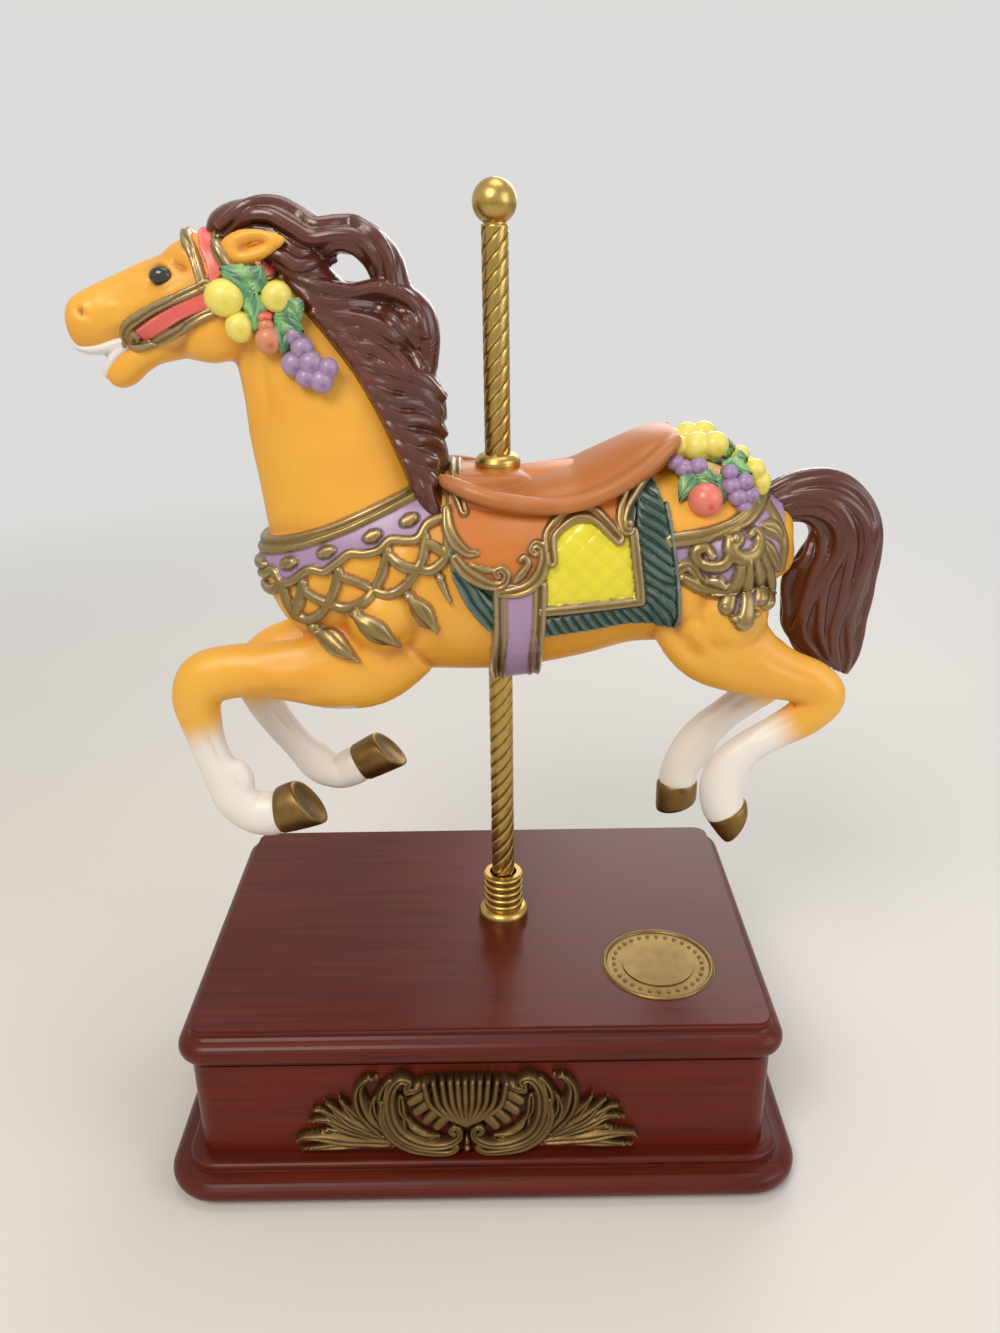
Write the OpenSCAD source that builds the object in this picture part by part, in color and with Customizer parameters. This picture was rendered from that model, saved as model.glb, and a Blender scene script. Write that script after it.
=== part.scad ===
// Carousel music box: a cast porcelain horse on a twisted brass pole, over a
// moulded cherry-wood case that holds a key-wound cylinder movement.
// The movement turns a face cam, and the cam lifts the pole and the horse.
// Frame: +Z up, X along the case, -Y towards the front.
// Origin: centre of the case, on the surface it stands on. Millimetres.

/* [Case] */
// Length of the case over its walls
case_w = 185; // [175:1:200]
// Depth of the case over its walls
case_d = 122; // [120:1:132]
// Height of the walls
wall_h = 35.5; // [35:0.5:42]
// Thickness of the walls
wall_t = 8; // [6:0.5:9]
// Radius of the case's upright corners
corner_r = 6; // [5:0.5:8]
// Height of the plinth moulding
plinth_h = 12; // [11:0.5:15]
// How far the plinth's lower round stands out from the walls
plinth_out = 11; // [8:0.5:13]
// Thickness of the top board
top_t = 13.4; // [12:0.2:16]
// How far the top board's round stands out from the walls
top_out = 3.7; // [2:0.1:6]
// Thickness of the foot pads
foot_h = 1.5; // [1:0.5:3]
// Diameter of the foot pads
foot_d = 14; // [10:1:18]
// Thickness of the bottom board
board_t = 4; // [3:0.5:5]
// Side of the glue blocks in the corners
block_s = 16; // [12:1:20]

/* [Fittings] */
// Diameter of the brass medallion
medallion_d = 38.1; // [30:0.1:42]
// Thickness of the brass medallion
medallion_t = 2.2; // [1.5:0.1:3]
// Medallion centre, kept at its distance from the right and front walls
medallion_at = [case_w / 2 - 32.7, 31.5 - case_d / 2];
// Overall length of the carved ornament
ornament_w = 117; // [100:1:130]
// Height of the carved ornament
ornament_h = 37; // [33:1:38]
// How far the carved ornament stands off the wall
ornament_t = 5; // [4:0.5:7]
// Ornament centre along the front wall
ornament_x = -5; // [-10:0.5:10]

/* [Pole] */
// Pole axis along the case
pole_x = 8; // [6:0.5:10]
// Diameter of the twisted brass pole
pole_d = 7.9; // [7:0.1:9]
// Diameter of the steel rod inside the pole
rod_d = 5; // [4:0.1:5.5]
// Radial clearance of the pole in its collar
slide_gap = 0.05; // [0.02:0.01:0.09]
// Height of the collar's top above the top board
collar_h = 18.6; // [14:0.2:24]
// Diameter of the collar's flange
flange_d = 17.7; // [16:0.1:20]
// Diameter of the collar's ribbed part
collar_d = 14; // [13:0.1:15]
// Number of ribs on the collar
collar_ribs = 5; // [3:1:7]
// Clear width of the countersink at the collar's mouth
mouth_d = 9.5; // [9.2:0.1:11]
// Height of the pole's plain run from the top board to the belly
belly_rise = 98.6; // [90:0.2:120]
// Diameter of the ball on the pole's top
ball_d = 12.8; // [11:0.1:15]
// Height of the ball's centre above the belly
ball_rise = 139.9; // [130:0.1:150]
// Diameter of the domed ferrule on the saddle
ferrule_d = 14; // [12:0.1:16]

/* [Lift] */
// Rise of the horse as the cam turns
lift = 12; // [8:0.5:12]
// Mean radius of the cam's track
cam_r = 16; // [15:0.5:17]
// Width of the cam's track
track_w = 7; // [5:0.5:8]
// Diameter of the guide rod
guide_d = 3; // [2.5:0.1:4]
// Distance from the pole to the guide rod
guide_reach = 17; // [16:0.5:19]

/* [Movement] */
// Tooth module of the wheels
wheel_m = 0.8; // [0.76:0.01:0.84]
// Teeth on the great wheel and on the cam wheel
wheel_teeth = 48; // [46:2:50]
// Thickness of the wheels
wheel_t = 2; // [1.6:0.1:2.2]
// Thickness of the bedplate
bed_t = 2; // [1.6:0.1:2.2]
// Diameter of the spring drum
drum_d = 27; // [24:0.5:27]
// Height of the spring drum
drum_h = 11; // [8:0.5:12]
// Diameter of the winding arbor
arbor_d = 5; // [4:0.1:5.5]
// Diameter of the pinned cylinder
cyl_d = 13; // [11:0.1:13.4]
// Length of the pinned cylinder
cyl_l = 19; // [17:0.5:20]
// Notes in the comb
notes = 18; // [12:1:20]
// Span of the winding key's wings
key_w = 25; // [20:0.5:30]
// Radial clearance of the turning parts
turn_gap = 0.05; // [0.02:0.01:0.09]

/* [Horse] */
// Length of the horse from nose to tail
horse_l = 248; // [230:1:260]
// Wall of the hollow casting
cast_wall = 4.5; // [4:0.5:6]
// Thickness of the saddle blanket on the coat
blanket_t = 1.6; // [1.2:0.1:2]
// Thickness of straps and bands on the coat
strap_t = 1.6; // [1.2:0.1:2]

/* [Hidden] */

round_fn = 64;
bead_fn = 6;

// ---- heights up the case ----
plinth_z = foot_h;
wall_z = plinth_z + plinth_h;
top_z = wall_z + wall_h;
face_z = top_z + top_t;
board_z = wall_z;
bed_z = board_z + board_t;
inner_w = case_w - 2 * wall_t;
inner_d = case_d - 2 * wall_t;
board_gap = 0.3;
top_r = 5;

// ---- heights up the movement ----
ratchet_t = 1.2;
bed_top = bed_z + bed_t;
ratchet_z = bed_top + 0.3;
wheel_z = ratchet_z + ratchet_t + 0.4;
cam_z = wheel_z + wheel_t;
cam_base = 0.8;
cam_low = cam_z + cam_base;
follow_gap = 0.15;
follower_z = cam_low + follow_gap;
follower_h = 4.2;
arm_over_cam = 6.8;
arm_z = cam_low + arm_over_cam;
arm_t = 2.5;
nut_t = 3;
pole_r = pole_d / 2;
rod_r = rod_d / 2;
belly_z = face_z + belly_rise;
// The horse's station tables are drawn 248 long; k turns drawn lengths into real ones.
k = horse_l / 248;
saddle_top = 68 * k;
ferrule_sink = 3.5 * k;
ferrule_z = belly_z + saddle_top - ferrule_sink;
sleeve_top = belly_z + ball_rise - ball_d / 2 + 0.4;
socket_deep = 4;
rod_ease = 0.3;

// ---- plan of the movement ----
wheel_r = wheel_m * wheel_teeth / 2;
// The train lies behind the front wall. The cam's axis and the guide rod swing
// round the pole together, so that the cam stays under it.
pinion_room = 5.3;
worm_room = 4;
fan_r = 3.4;
front_gap = 1.4;
worm_wheel_t = 1.4;
train_y = wheel_r + pinion_room + cyl_l + worm_room + worm_wheel_t / 2 + fan_r + front_gap - inner_d / 2;
train_swing = asin(train_y / cam_r);
cam_at = [pole_x + cam_r * cos(train_swing), train_y];
drum_at = [cam_at[0] - 2 * wheel_r - 0.1, train_y];
guide_at = [pole_x - guide_reach * sin(train_swing), guide_reach * cos(train_swing)];
cyl_y0 = train_y - wheel_r - pinion_room;
crown_r = wheel_r - 1.7;
crown_teeth = 44;
pinion_teeth = 11;
pinion_r = crown_r * pinion_teeth / crown_teeth;
crown_h = 1.4;
crown_w = 0.9;
pinion_m = 0.72;
pinion_l = 2;
worm_m = 0.5;
post_r = 2;
bed_screw_r = 1.2;
board_screw_r = 1.5;
pinion_z = cam_z + crown_h / 2 + pinion_r + 0.1;
spindle_r = 1;
worm_r = 1.9;
worm_teeth = 24;
worm_wheel_r = 6;
worm_wheel_y = cyl_y0 - cyl_l - worm_room;
bracket_t = 1.6;
worm_gap = 0.75;
worm_at = [drum_at[0] + worm_wheel_r + worm_r + worm_gap, worm_wheel_y - worm_wheel_t / 2];
pin_r = 0.25;
pin_h = 0.5;
comb_l = 21;
comb_gap = 0.15;
comb_tip = drum_at[0] - cyl_d / 2 - pin_h - comb_gap;
bed_gap = 1.5;
bed_x = [comb_tip - comb_l - 1, cam_at[0] + wheel_r + 5];
bed_y = [bed_gap - inner_d / 2, guide_at[1] + 6];
bed_mid = [(bed_x[0] + bed_x[1]) / 2, (bed_y[0] + bed_y[1]) / 2];
bed_w = bed_x[1] - bed_x[0];
bed_d = bed_y[1] - bed_y[0];

module at(p) translate([p[0], p[1], 0]) children();
module rod(r, z0, z1, fn = round_fn) translate([0, 0, z0]) cylinder(r = r, h = z1 - z0, $fn = fn);
module tube(ro, ri, z0, z1) difference() {
    rod(ro, z0, z1);
    rod(ri, z0 - 1, z1 + 1);
}

// ---- wooden case ----

// A block with round upright corners and a moulded edge. The profile's x runs
// outwards from the corner's axis and its y runs up.
module moulded(w, d, r, profile, z0, z1) {
    cx = w / 2 - r;
    cy = d / 2 - r;
    translate([-cx, -cy, z0]) cube([2 * cx, 2 * cy, z1 - z0]);
    for (s = [0, 1]) rotate(180 * s) {
        translate([cx, -cy, 0]) rotate([90, 0, -90]) linear_extrude(2 * cx) polygon(profile);
        translate([cx, cy, 0]) rotate([90, 0, 0]) linear_extrude(2 * cy) polygon(profile);
        translate([cx, -cy, 0]) rotate(-90) rotate_extrude(angle = 90, $fn = round_fn) polygon(profile);
        translate([-cx, -cy, 0]) rotate(180) rotate_extrude(angle = 90, $fn = round_fn) polygon(profile);
    }
}
function arc(c, r, a0, a1, n) = [for (i = [0:n]) let (a = a0 + (a1 - a0) * i / n) c + r * [cos(a), sin(a)]];

// Top board: a flat face, a fine step, then a bold round over a small fillet.
bull_r = 4.4;
function top_profile() = let (o = corner_r + top_out) concat(
    [[0, 0], [corner_r - 0.6, 0], [corner_r - 0.6, 1.2]],
    arc([o - bull_r, 1.4 + bull_r], bull_r, -70, 78, 12),
    [[top_r + 0.5, 10.9], [top_r + 0.5, top_t - 1.1], [top_r, top_t - 0.9], [top_r, top_t], [0, top_t]]);
module top_board() color("#6B2A1C") difference() {
    translate([0, 0, top_z]) moulded(case_w, case_d, corner_r, top_profile(), 0, top_t);
    at([pole_x, 0]) rod(collar_d / 2 - 1, top_z - 1, face_z + 1);
    at(medallion_at) rod(medallion_d / 2 + 0.2, face_z - medallion_t, face_z + 1);
}

// Walls: one rounded block, hollowed, and mitred into four.
module wall_ring() difference() {
    translate([0, 0, wall_z])
        moulded(case_w, case_d, corner_r, [[0, 0], [corner_r, 0], [corner_r, wall_h],
            [0, wall_h]], 0, wall_h);
    translate([-inner_w / 2, -inner_d / 2, wall_z - 1]) cube([inner_w, inner_d, wall_h + 2]);
}
// Mitre wedge for one side: s = [1,0] right, [-1,0] left, [0,-1] front, [0,1] back.
module mitre(s) {
    far = case_w;
    off = (case_w - case_d) / 2;
    translate([0, 0, -1]) linear_extrude(face_z) {
        if (s[1] != 0) polygon([[-off, 0], [off, 0], [off + far, s[1] * far], [-off - far, s[1] * far]]);
        else polygon([[s[0] * off, 0], [s[0] * (off + far), far], [s[0] * (off + far), -far]]);
    }
}
module wall(s) color("#5A2116") intersection() {
    wall_ring();
    mitre(s);
}

// Plinth: a bold lower round, a groove, and a small bead under the wall.
function plinth_profile() = let (o = corner_r + plinth_out, k = plinth_h / 12) concat(
    [[0, 0], [corner_r + plinth_out - 4.5, 0]],
    arc([o - 3.9, 4.1 * k], 3.9, -75, 80, 10),
    [[corner_r + plinth_out - 4.6, 8.2 * k], [corner_r + 4.6, 8.4 * k]],
    arc([corner_r + 3.2, 10 * k], 1.5, -60, 80, 6),
    [[corner_r + 1.4, plinth_h - 0.3], [corner_r + 1.4, plinth_h], [0, plinth_h]]);
plinth_in = 2;
module plinth(s) color("#6B2A1C") intersection() {
    difference() {
        translate([0, 0, plinth_z]) moulded(case_w, case_d, corner_r, plinth_profile(), 0, plinth_h);
        translate([-inner_w / 2 + plinth_in, -inner_d / 2 + plinth_in, 0])
            cube([inner_w - 2 * plinth_in, inner_d - 2 * plinth_in, wall_z + 1]);
    }
    mitre(s);
}
module corner_blocks() color("#8A5A3A") for (sx = [-1, 1], sy = [-1, 1])
    translate([sx * (inner_w - block_s) / 2, sy * (inner_d - block_s) / 2, bed_z + (wall_h - board_t) / 2])
        difference() {
            cube([block_s, block_s, wall_h - board_t], center = true);
            translate([0, 0, -wall_h]) cylinder(r = board_screw_r, h = wall_h / 2 + board_t / 2 + 12,
                $fn = round_fn);
        }
screw_spots = [for (sx = [-1, 1], sy = [-1, 1]) [sx * (inner_w - block_s) / 2, sy * (inner_d - block_s) / 2]];
sound_spots = [for (i = [0:4]) [38 + 9 * i, -30 + 3 * (i % 2)]];
bed_screw_spots = [for (sx = [-1, 1], sy = [-1, 1]) [bed_mid[0] + sx * (bed_w / 2 - 4),
    bed_mid[1] + sy * (bed_d / 2 - 4)]];
module bottom_board() color("#A8744A") difference() {
    translate([-inner_w / 2 + board_gap, -inner_d / 2 + board_gap, board_z])
        cube([inner_w - 2 * board_gap, inner_d - 2 * board_gap, board_t]);
    at(drum_at) rod(arbor_d / 2 + 2, board_z - 1, bed_z + 1);
    for (p = screw_spots) at(p) rod(board_screw_r + 0.2, board_z - 1, bed_z + 1);
    for (p = bed_screw_spots) at(p) rod(bed_screw_r, board_z - 1, bed_z + 1);
    for (p = sound_spots) at(p) rod(3, board_z - 1, bed_z + 1);
}
module wood_screw(z0, r, h, head_r, head_h) {
    rod(r, z0, z0 + h);
    rod(head_r, z0 - head_h, z0);
}
module board_screws() color("#B8963E") for (p = screw_spots) at(p)
    wood_screw(board_z, board_screw_r, board_t + 10, 2 * board_screw_r, 1.2);
module foot_pads() color("#1E1A18") for (sx = [-1, 1], sy = [-1, 1])
    translate([sx * (case_w / 2 - foot_d / 2 + 1), sy * (case_d / 2 - foot_d / 2 + 1), 0])
        cylinder(d = foot_d, h = foot_h, $fn = round_fn);

// ---- fittings on the case ----

// Medallion: a struck brass disc with a rounded rim and a ring of beads.
module medallion() color("#A98F4E") at(medallion_at) {
    mr = medallion_d / 2;
    z0 = face_z - medallion_t;
    rod(mr, z0, face_z);
    translate([0, 0, face_z]) rotate_extrude($fn = round_fn) translate([mr - 1.1, -0.2]) circle(r = 0.9,
        $fn = 24);
    for (i = [0:29]) rotate(12 * i) translate([mr - 4.2, 0, face_z - 0.1]) sphere(r = 0.7, $fn = 16);
    rod(mr - 7, face_z - 0.5, face_z + 0.35);
}

// One leaf of the ornament, from its root to its tip, as a ridge that tapers.
module leaf(root, tip, w) hull() {
    translate([root[0], 0, root[1]]) scale([1, 0.8, 1]) sphere(r = w * 0.5, $fn = bead_fn);
    translate([(root[0] + tip[0]) / 2, 0, (root[1] + tip[1]) / 2]) scale([1, 0.7, 1]) sphere(r = w,
        $fn = bead_fn);
    translate([tip[0], 0, tip[1]]) scale([1, 0.7, 1]) sphere(r = w * 0.3, $fn = bead_fn);
}
// Half of the ornament: a C-scroll, acanthus sprays and half of a fluted shell.
ornament_leaves = [[[26, -6], [60, -17], 4.4], [[26, -4], [55, -2], 4.4], [[24, -4], [46, 7], 4.4],
    [[22, -6], [35, 16], 4.2], [[20, -4], [26, 14], 3.6], [[24, -9], [44, -16], 3]];
module ornament_half() {
    k = [ornament_w / 126, ornament_h / 37];
    scale([k[0], ornament_t / 5, k[1]]) {
        for (l = ornament_leaves) leaf(l[0], l[1], l[2]);
        for (i = [0:5]) {
            a = 70 - 38 * i;
            b = a - 38;
            hull() {
                translate([12.5 + 9.5 * cos(a), 0, 1 + 12.5 * sin(a)]) sphere(r = 2.2, $fn = bead_fn);
                translate([12.5 + 9.5 * cos(b), 0, 1 + 12.5 * sin(b)]) sphere(r = 2.2, $fn = bead_fn);
            }
        }
        hull() {
            translate([5, 0, -2]) sphere(r = 3, $fn = bead_fn);
            translate([14, 0, 2]) sphere(r = 4, $fn = bead_fn);
            translate([10, 0, -8]) sphere(r = 2.5, $fn = bead_fn);
        }
        for (i = [0:2]) leaf([0.8 * i, -3], [3 + 4 * i, 13.5 - i], 2.3);
    }
}
module front_ornament() color("#86693A") difference() {
    translate([ornament_x, -case_d / 2, wall_z + wall_h / 2 - 0.5]) union() {
        ornament_half();
        mirror([1, 0, 0]) ornament_half();
    }
    translate([-case_w, -case_d / 2, 0]) cube([2 * case_w, case_d, face_z]);
    translate([-case_w, -case_d, 0]) cube([2 * case_w, case_d, wall_z]);
    translate([-case_w, -case_d, top_z]) cube([2 * case_w, case_d, top_t]);
}

// ---- pole collar ----
bush_bottom = top_z - nut_t;
mouth_deep = 9;
module pole_collar() color("#B8963E") at([pole_x, 0]) difference() {
    union() {
        rod(collar_d / 2 - 1, bush_bottom, face_z);
        translate([0, 0, face_z]) rotate_extrude($fn = round_fn) polygon(concat(
            [[0, 0], [flange_d / 2, 0]],
            arc([flange_d / 2 - 2.6, 2.5], 2.6, 0, 90, 8),
            [[collar_d / 2 - 0.6, 5.1], [0, 5.1]]));
        rod(collar_d / 2 - 0.6, face_z, face_z + collar_h);
        pitch = (collar_h - 5.1) / collar_ribs;
        for (i = [0:collar_ribs - 1]) translate([0, 0, face_z + 5.1 + pitch * (i + 0.5)])
            rotate_extrude($fn = round_fn) translate([collar_d / 2 - 1, 0]) circle(r = 1, $fn = 20);
    }
    rod(pole_r + slide_gap, bush_bottom - 1, face_z + collar_h + 1);
    rod(mouth_d / 2, face_z + collar_h - mouth_deep, face_z + collar_h + 1);
}
module collar_nut() color("#B8963E") at([pole_x, 0]) difference() {
    rod(collar_d / 2 + 2.5, bush_bottom, top_z, 6);
    rod(collar_d / 2 - 1, bush_bottom - 1, top_z + 1);
}

// ---- movement ----
module bedplate() color("#B9B4A6") difference() {
    translate([bed_mid[0] - bed_w / 2, bed_mid[1] - bed_d / 2, bed_z]) cube([bed_w, bed_d, bed_t]);
    at(drum_at) rod(arbor_d / 2 + turn_gap, bed_z - 1, ratchet_z + 1);
    for (p = bed_screw_spots) at(p) rod(bed_screw_r, bed_z - 1, bed_top + 1);
    at(cam_at) rod(post_r, bed_z - 1, bed_top + 1);
    at(guide_at) rod(guide_d / 2, bed_z - 1, bed_top + 1);
}
module bedplate_screws() color("#C9C9C4") for (p = bed_screw_spots) at(p) {
    rod(bed_screw_r, bed_z - board_t, bed_top);
    rod(2 * bed_screw_r, bed_top, bed_top + 1.4);
}

// A toothed wheel: straight-sided teeth, a little slimmer than their gaps.
module toothed(teeth, r, m, z0, t, turn = 0) translate([0, 0, z0]) rotate(turn) linear_extrude(t)
    polygon([for (i = [0:teeth - 1]) for (k = [[-1.2, -1.1], [-0.42, 0.8], [0.42, 0.8], [1.2, -1.1]])
        let (a = (360 * i + 90 * k[0]) / teeth) (r + k[1] * m) * [cos(a), sin(a)]]);

module great_wheel() color("#B8963E") at(drum_at) difference() {
    union() {
        toothed(wheel_teeth, wheel_r, wheel_m, wheel_z, wheel_t);
        for (i = [0:crown_teeth - 1]) rotate(360 * i / crown_teeth + 90)
            translate([crown_r - 1.6, -crown_w / 2, cam_z - 0.3]) cube([2.4, crown_w, crown_h + 0.3]);
    }
    rod(arbor_d / 2 + turn_gap, wheel_z - 1, cam_z + 1);
}
drum_wall = 1;
drum_z = cam_z;
module spring_drum() color("#C2A04A") at(drum_at) difference() {
    rod(drum_d / 2, drum_z, drum_z + drum_h);
    rod(drum_d / 2 - drum_wall, drum_z - 1, drum_z + drum_h - drum_wall);
    rod(arbor_d / 2 + turn_gap, drum_z - 1, drum_z + drum_h + 1);
}
spring_turns = 4;
spring_t = 0.4;
module mainspring() color("#5C6068") at(drum_at) translate([0, 0,
    drum_z + 1]) linear_extrude(drum_h - drum_wall - 2) {
    r0 = arbor_d / 2 + 1.5;
    r1 = drum_d / 2 - drum_wall - 0.2;
    n = 16 * spring_turns;
    in_pts = [for (i = [0:n]) let (r = r0 + (r1 - r0) * i / n,
        a = 360 * spring_turns * i / n) (r - spring_t) * [cos(a), sin(a)]];
    out_pts = [for (i = [n:-1:0]) let (r = r0 + (r1 - r0) * i / n,
        a = 360 * spring_turns * i / n) r * [cos(a), sin(a)]];
    polygon(concat(in_pts, out_pts));
}
key_z = plinth_z + 2;
key_h = 8;
arbor_top = drum_z + drum_h + 1.5;
module winding_arbor() color("#B9BCC0") at(drum_at) rod(arbor_d / 2, key_z + 3, arbor_top);
ratchet_r = 7;
ratchet_teeth = 16;
module ratchet_wheel() color("#C9C9C4") at(drum_at) difference() {
    translate([0, 0, ratchet_z]) linear_extrude(ratchet_t)
        polygon([for (i = [0:ratchet_teeth - 1]) for (k = [[0, 1], [0.15, 0.84]])
            let (a = 360 * (i + k[0]) / ratchet_teeth) ratchet_r * k[1] * [cos(a), sin(a)]]);
    rod(arbor_d / 2, ratchet_z - 1, ratchet_z + ratchet_t + 1);
}
module ratchet_click() color("#C9C9C4") at(drum_at) rotate(135) {
    translate([ratchet_r + 5, 0, 0]) {
        rod(1.2, bed_top, ratchet_z + ratchet_t);
        rod(2, ratchet_z - 0.2, ratchet_z + ratchet_t);
    }
    translate([ratchet_r + 0.3, -0.9, ratchet_z - 0.2]) cube([4, 1.8, ratchet_t + 0.2]);
}
module winding_key() color("#B9BCC0") at(drum_at) difference() {
    union() {
        rod(4, key_z, key_z + key_h);
        for (s = [-1, 1]) {
            translate([s * key_w / 4, 0, key_z + key_h / 2]) cube([key_w / 2, 1.6, key_h - 1], center = true);
            translate([s * key_w / 2, 0.8, key_z + key_h / 2]) rotate([90, 0, 0])
                cylinder(r = key_h / 2 - 0.5, h = 1.6, $fn = round_fn);
        }
    }
    rod(arbor_d / 2, key_z + 3, key_z + key_h + 1);
}

cyl_y1 = cyl_y0 - cyl_l;
module along_y(z = pinion_z) translate([drum_at[0], train_y, z]) rotate([90, 0, 0]) children();
module pinned_cylinder() color("#C8A54E") along_y() difference() {
    union() {
        translate([0, 0, train_y - cyl_y0]) cylinder(d = cyl_d, h = cyl_l, $fn = round_fn);
        for (i = [0:notes - 1], k = [0:1]) rotate(i * 137 + k * 190)
            translate([0, 0, train_y - cyl_y0 + cyl_l * (i + 0.5) / notes]) rotate([0, 90, 0])
                cylinder(r = pin_r, h = cyl_d / 2 + pin_h, $fn = 16);
    }
    translate([0, 0, train_y - cyl_y0 - 1]) cylinder(r = spindle_r, h = cyl_l + 2, $fn = round_fn);
}
module cylinder_arbor() color("#B9BCC0") along_y() {
    translate([0, 0, crown_r - 2]) cylinder(r = spindle_r, h = train_y - worm_wheel_y - crown_r + 4, $fn = round_fn);
    translate([0, 0, crown_r - 1.4]) toothed(pinion_teeth, pinion_r, pinion_m, 0, pinion_l, 90);
    translate([0, 0, train_y - worm_wheel_y]) toothed(worm_teeth, worm_wheel_r, worm_m, 0, worm_wheel_t);
}
bracket_y = [cyl_y0 + 0.6, cyl_y1 - 0.6 - bracket_t];
module bearing_brackets() color("#B9B4A6") difference() {
    for (y = bracket_y) translate([drum_at[0] - 3.5, y, bed_top])
        cube([7, bracket_t, pinion_z + 3 - bed_z - bed_t]);
    along_y() cylinder(r = spindle_r + turn_gap, h = inner_d, $fn = round_fn);
}
comb_t = 1;
comb_foot = 5;
module comb() color("#C4C7CA") difference() {
    translate([comb_tip - comb_l, cyl_y1, pinion_z - comb_t / 2]) cube([comb_l, cyl_l, comb_t]);
    for (i = [1:notes - 1]) translate([comb_tip - comb_l + 8 + 3 * i / notes,
        cyl_y1 + cyl_l * i / notes - 0.15, 0])
        cube([comb_l, 0.3, face_z]);
    for (s = comb_screw_y) translate([comb_tip - comb_l + comb_foot, s, 0]) rod(1.2, 0, face_z);
}
comb_screw_y = [cyl_y1 + 4, cyl_y1 + cyl_l - 4];
module comb_screws() color("#C9C9C4") for (s = comb_screw_y) translate([comb_tip - comb_l + comb_foot, s,
    0]) {
    rod(1.2, pinion_z - comb_t / 2, pinion_z + comb_t / 2);
    rod(2.2, pinion_z + comb_t / 2, pinion_z + comb_t / 2 + 1.2);
    rod(3.4, bed_top, pinion_z - comb_t / 2);
}
worm_lo = bed_top + 1;
fan_z = pinion_z + 6;
module governor_worm() color("#D8C88A") at(worm_at) {
    rod(0.7, worm_lo + 0.2, fan_z + 5.8);
    translate([0, 0, pinion_z - 4]) linear_extrude(8, twist = -360 * 8 / 3.14, slices = 20)
        polygon([for (i = [0:7]) (1.5 + 0.4 * cos(90 * i)) * [cos(45 * i), sin(45 * i)]]);
    translate([-fan_r, -0.3, fan_z]) cube([2 * fan_r, 0.6, 4.5]);
}
module governor_frame() color("#B9B4A6") at(worm_at) difference() {
    union() {
        translate([-2, -2, bed_top]) cube([4, 4, 2]);
        translate([5.6, -2, bed_top]) cube([1.6, 4, fan_z + 8 - bed_z - bed_t]);
        translate([-2, -2, fan_z + 5.2]) cube([9.2, 4, 1.6]);
        translate([2, -2, bed_top]) cube([5.2, 4, 1]);
    }
    rod(0.7 + turn_gap, worm_lo, fan_z + 8);
}

// ---- lift ----
module cam_post() color("#B9BCC0") at(cam_at) {
    rod(post_r, bed_z, cam_z + 0.2);
    rod(post_r + 1.6, bed_top, wheel_z - 0.1);
    rod(post_r + 1.4, cam_z + 0.2, cam_z + 1.4);
}
module cam_wheel() color("#B8963E") at(cam_at) difference() {
    toothed(wheel_teeth, wheel_r, wheel_m, wheel_z, wheel_t, 180 / wheel_teeth);
    rod(post_r + turn_gap, wheel_z - 1, cam_z + 1);
}
// Face cam: a ring whose top rises evenly for half a turn and falls for the other half.
cam_steps = 36;
function cam_rise(a) = lift * (1 - abs(180 - a) / 180);
function cam_ring_pts(r, top) = [for (i = [0:cam_steps - 1]) let (a = 360 * i / cam_steps)
    [-r * cos(a), -r * sin(a), top ? cam_low + cam_rise(a) : cam_z]];
module lift_cam() color("#E8E2D0") at(cam_at) rotate(train_swing) {
    n = cam_steps;
    polyhedron(points = concat(cam_ring_pts(cam_r + track_w / 2, false), cam_ring_pts(cam_r + track_w / 2,
        true),
            cam_ring_pts(cam_r - track_w / 2, false), cam_ring_pts(cam_r - track_w / 2, true)),
        faces = [for (i = [0:n - 1]) let (j = (i + 1) % n)
            for (f = [[i, i + n, j + n, j], [i + n, i + 3 * n, j + 3 * n, j + n],
                [i + 3 * n, i + 2 * n, j + 2 * n, j + 3 * n], [i + 2 * n, i, j, j + 2 * n]])
                for (t = [[f[0], f[1], f[2]], [f[0], f[2], f[3]]]) t]);
}
module guide_rod() color("#B9BCC0") at(guide_at) rod(guide_d / 2, bed_z, top_z - 0.5);

// ---- pole ----
follower_r = pole_r - 0.4;
module cam_follower() color("#F2EFE6") at([pole_x, 0]) difference() {
    union() {
        rod(follower_r, follower_z + 2, follower_z + follower_h);
        translate([0, 0, follower_z + 2]) difference() {
            sphere(r = 2, $fn = 32);
            rod(3, 0, 3);
        }
    }
    rod(rod_r, follower_z + 2.6, follower_z + follower_h + 1);
}
pole_foot = follower_z + follower_h;
module guide_arm() color("#B9B4A6") difference() {
    union() {
        at([pole_x, 0]) rod(pole_r + 2, arm_z, arm_z + arm_t);
        at([pole_x, 0]) rotate(train_swing) translate([-2.5, 0, arm_z]) cube([5, guide_reach, arm_t]);
        at(guide_at) rod(guide_d / 2 + 2, arm_z, arm_z + arm_t);
    }
    at([pole_x, 0]) rod(pole_r, arm_z - 1, arm_z + arm_t + 1);
    at(guide_at) rod(guide_d / 2 + slide_gap, arm_z - 1, arm_z + arm_t + 1);
}
module pole_rod() color("#B9BCC0") at([pole_x, 0]) rod(rod_r, follower_z + 2.6, sleeve_top + 4);
module lower_pole() color("#B8963E") at([pole_x, 0]) tube(pole_r, rod_r, pole_foot, belly_z + socket_deep);
module upper_pole() color("#B8963E") at([pole_x, 0]) tube(pole_r, rod_r, ferrule_z + 2, sleeve_top);
module ball_finial() color("#B8963E") at([pole_x, 0]) difference() {
    union() {
        translate([0, 0, belly_z + ball_rise]) sphere(d = ball_d, $fn = round_fn);
        rod(pole_r - 0.6, sleeve_top, sleeve_top + 2);
    }
    rod(ball_d, belly_z, sleeve_top);
    rod(rod_r, sleeve_top - 1, sleeve_top + 4);
}
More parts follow.
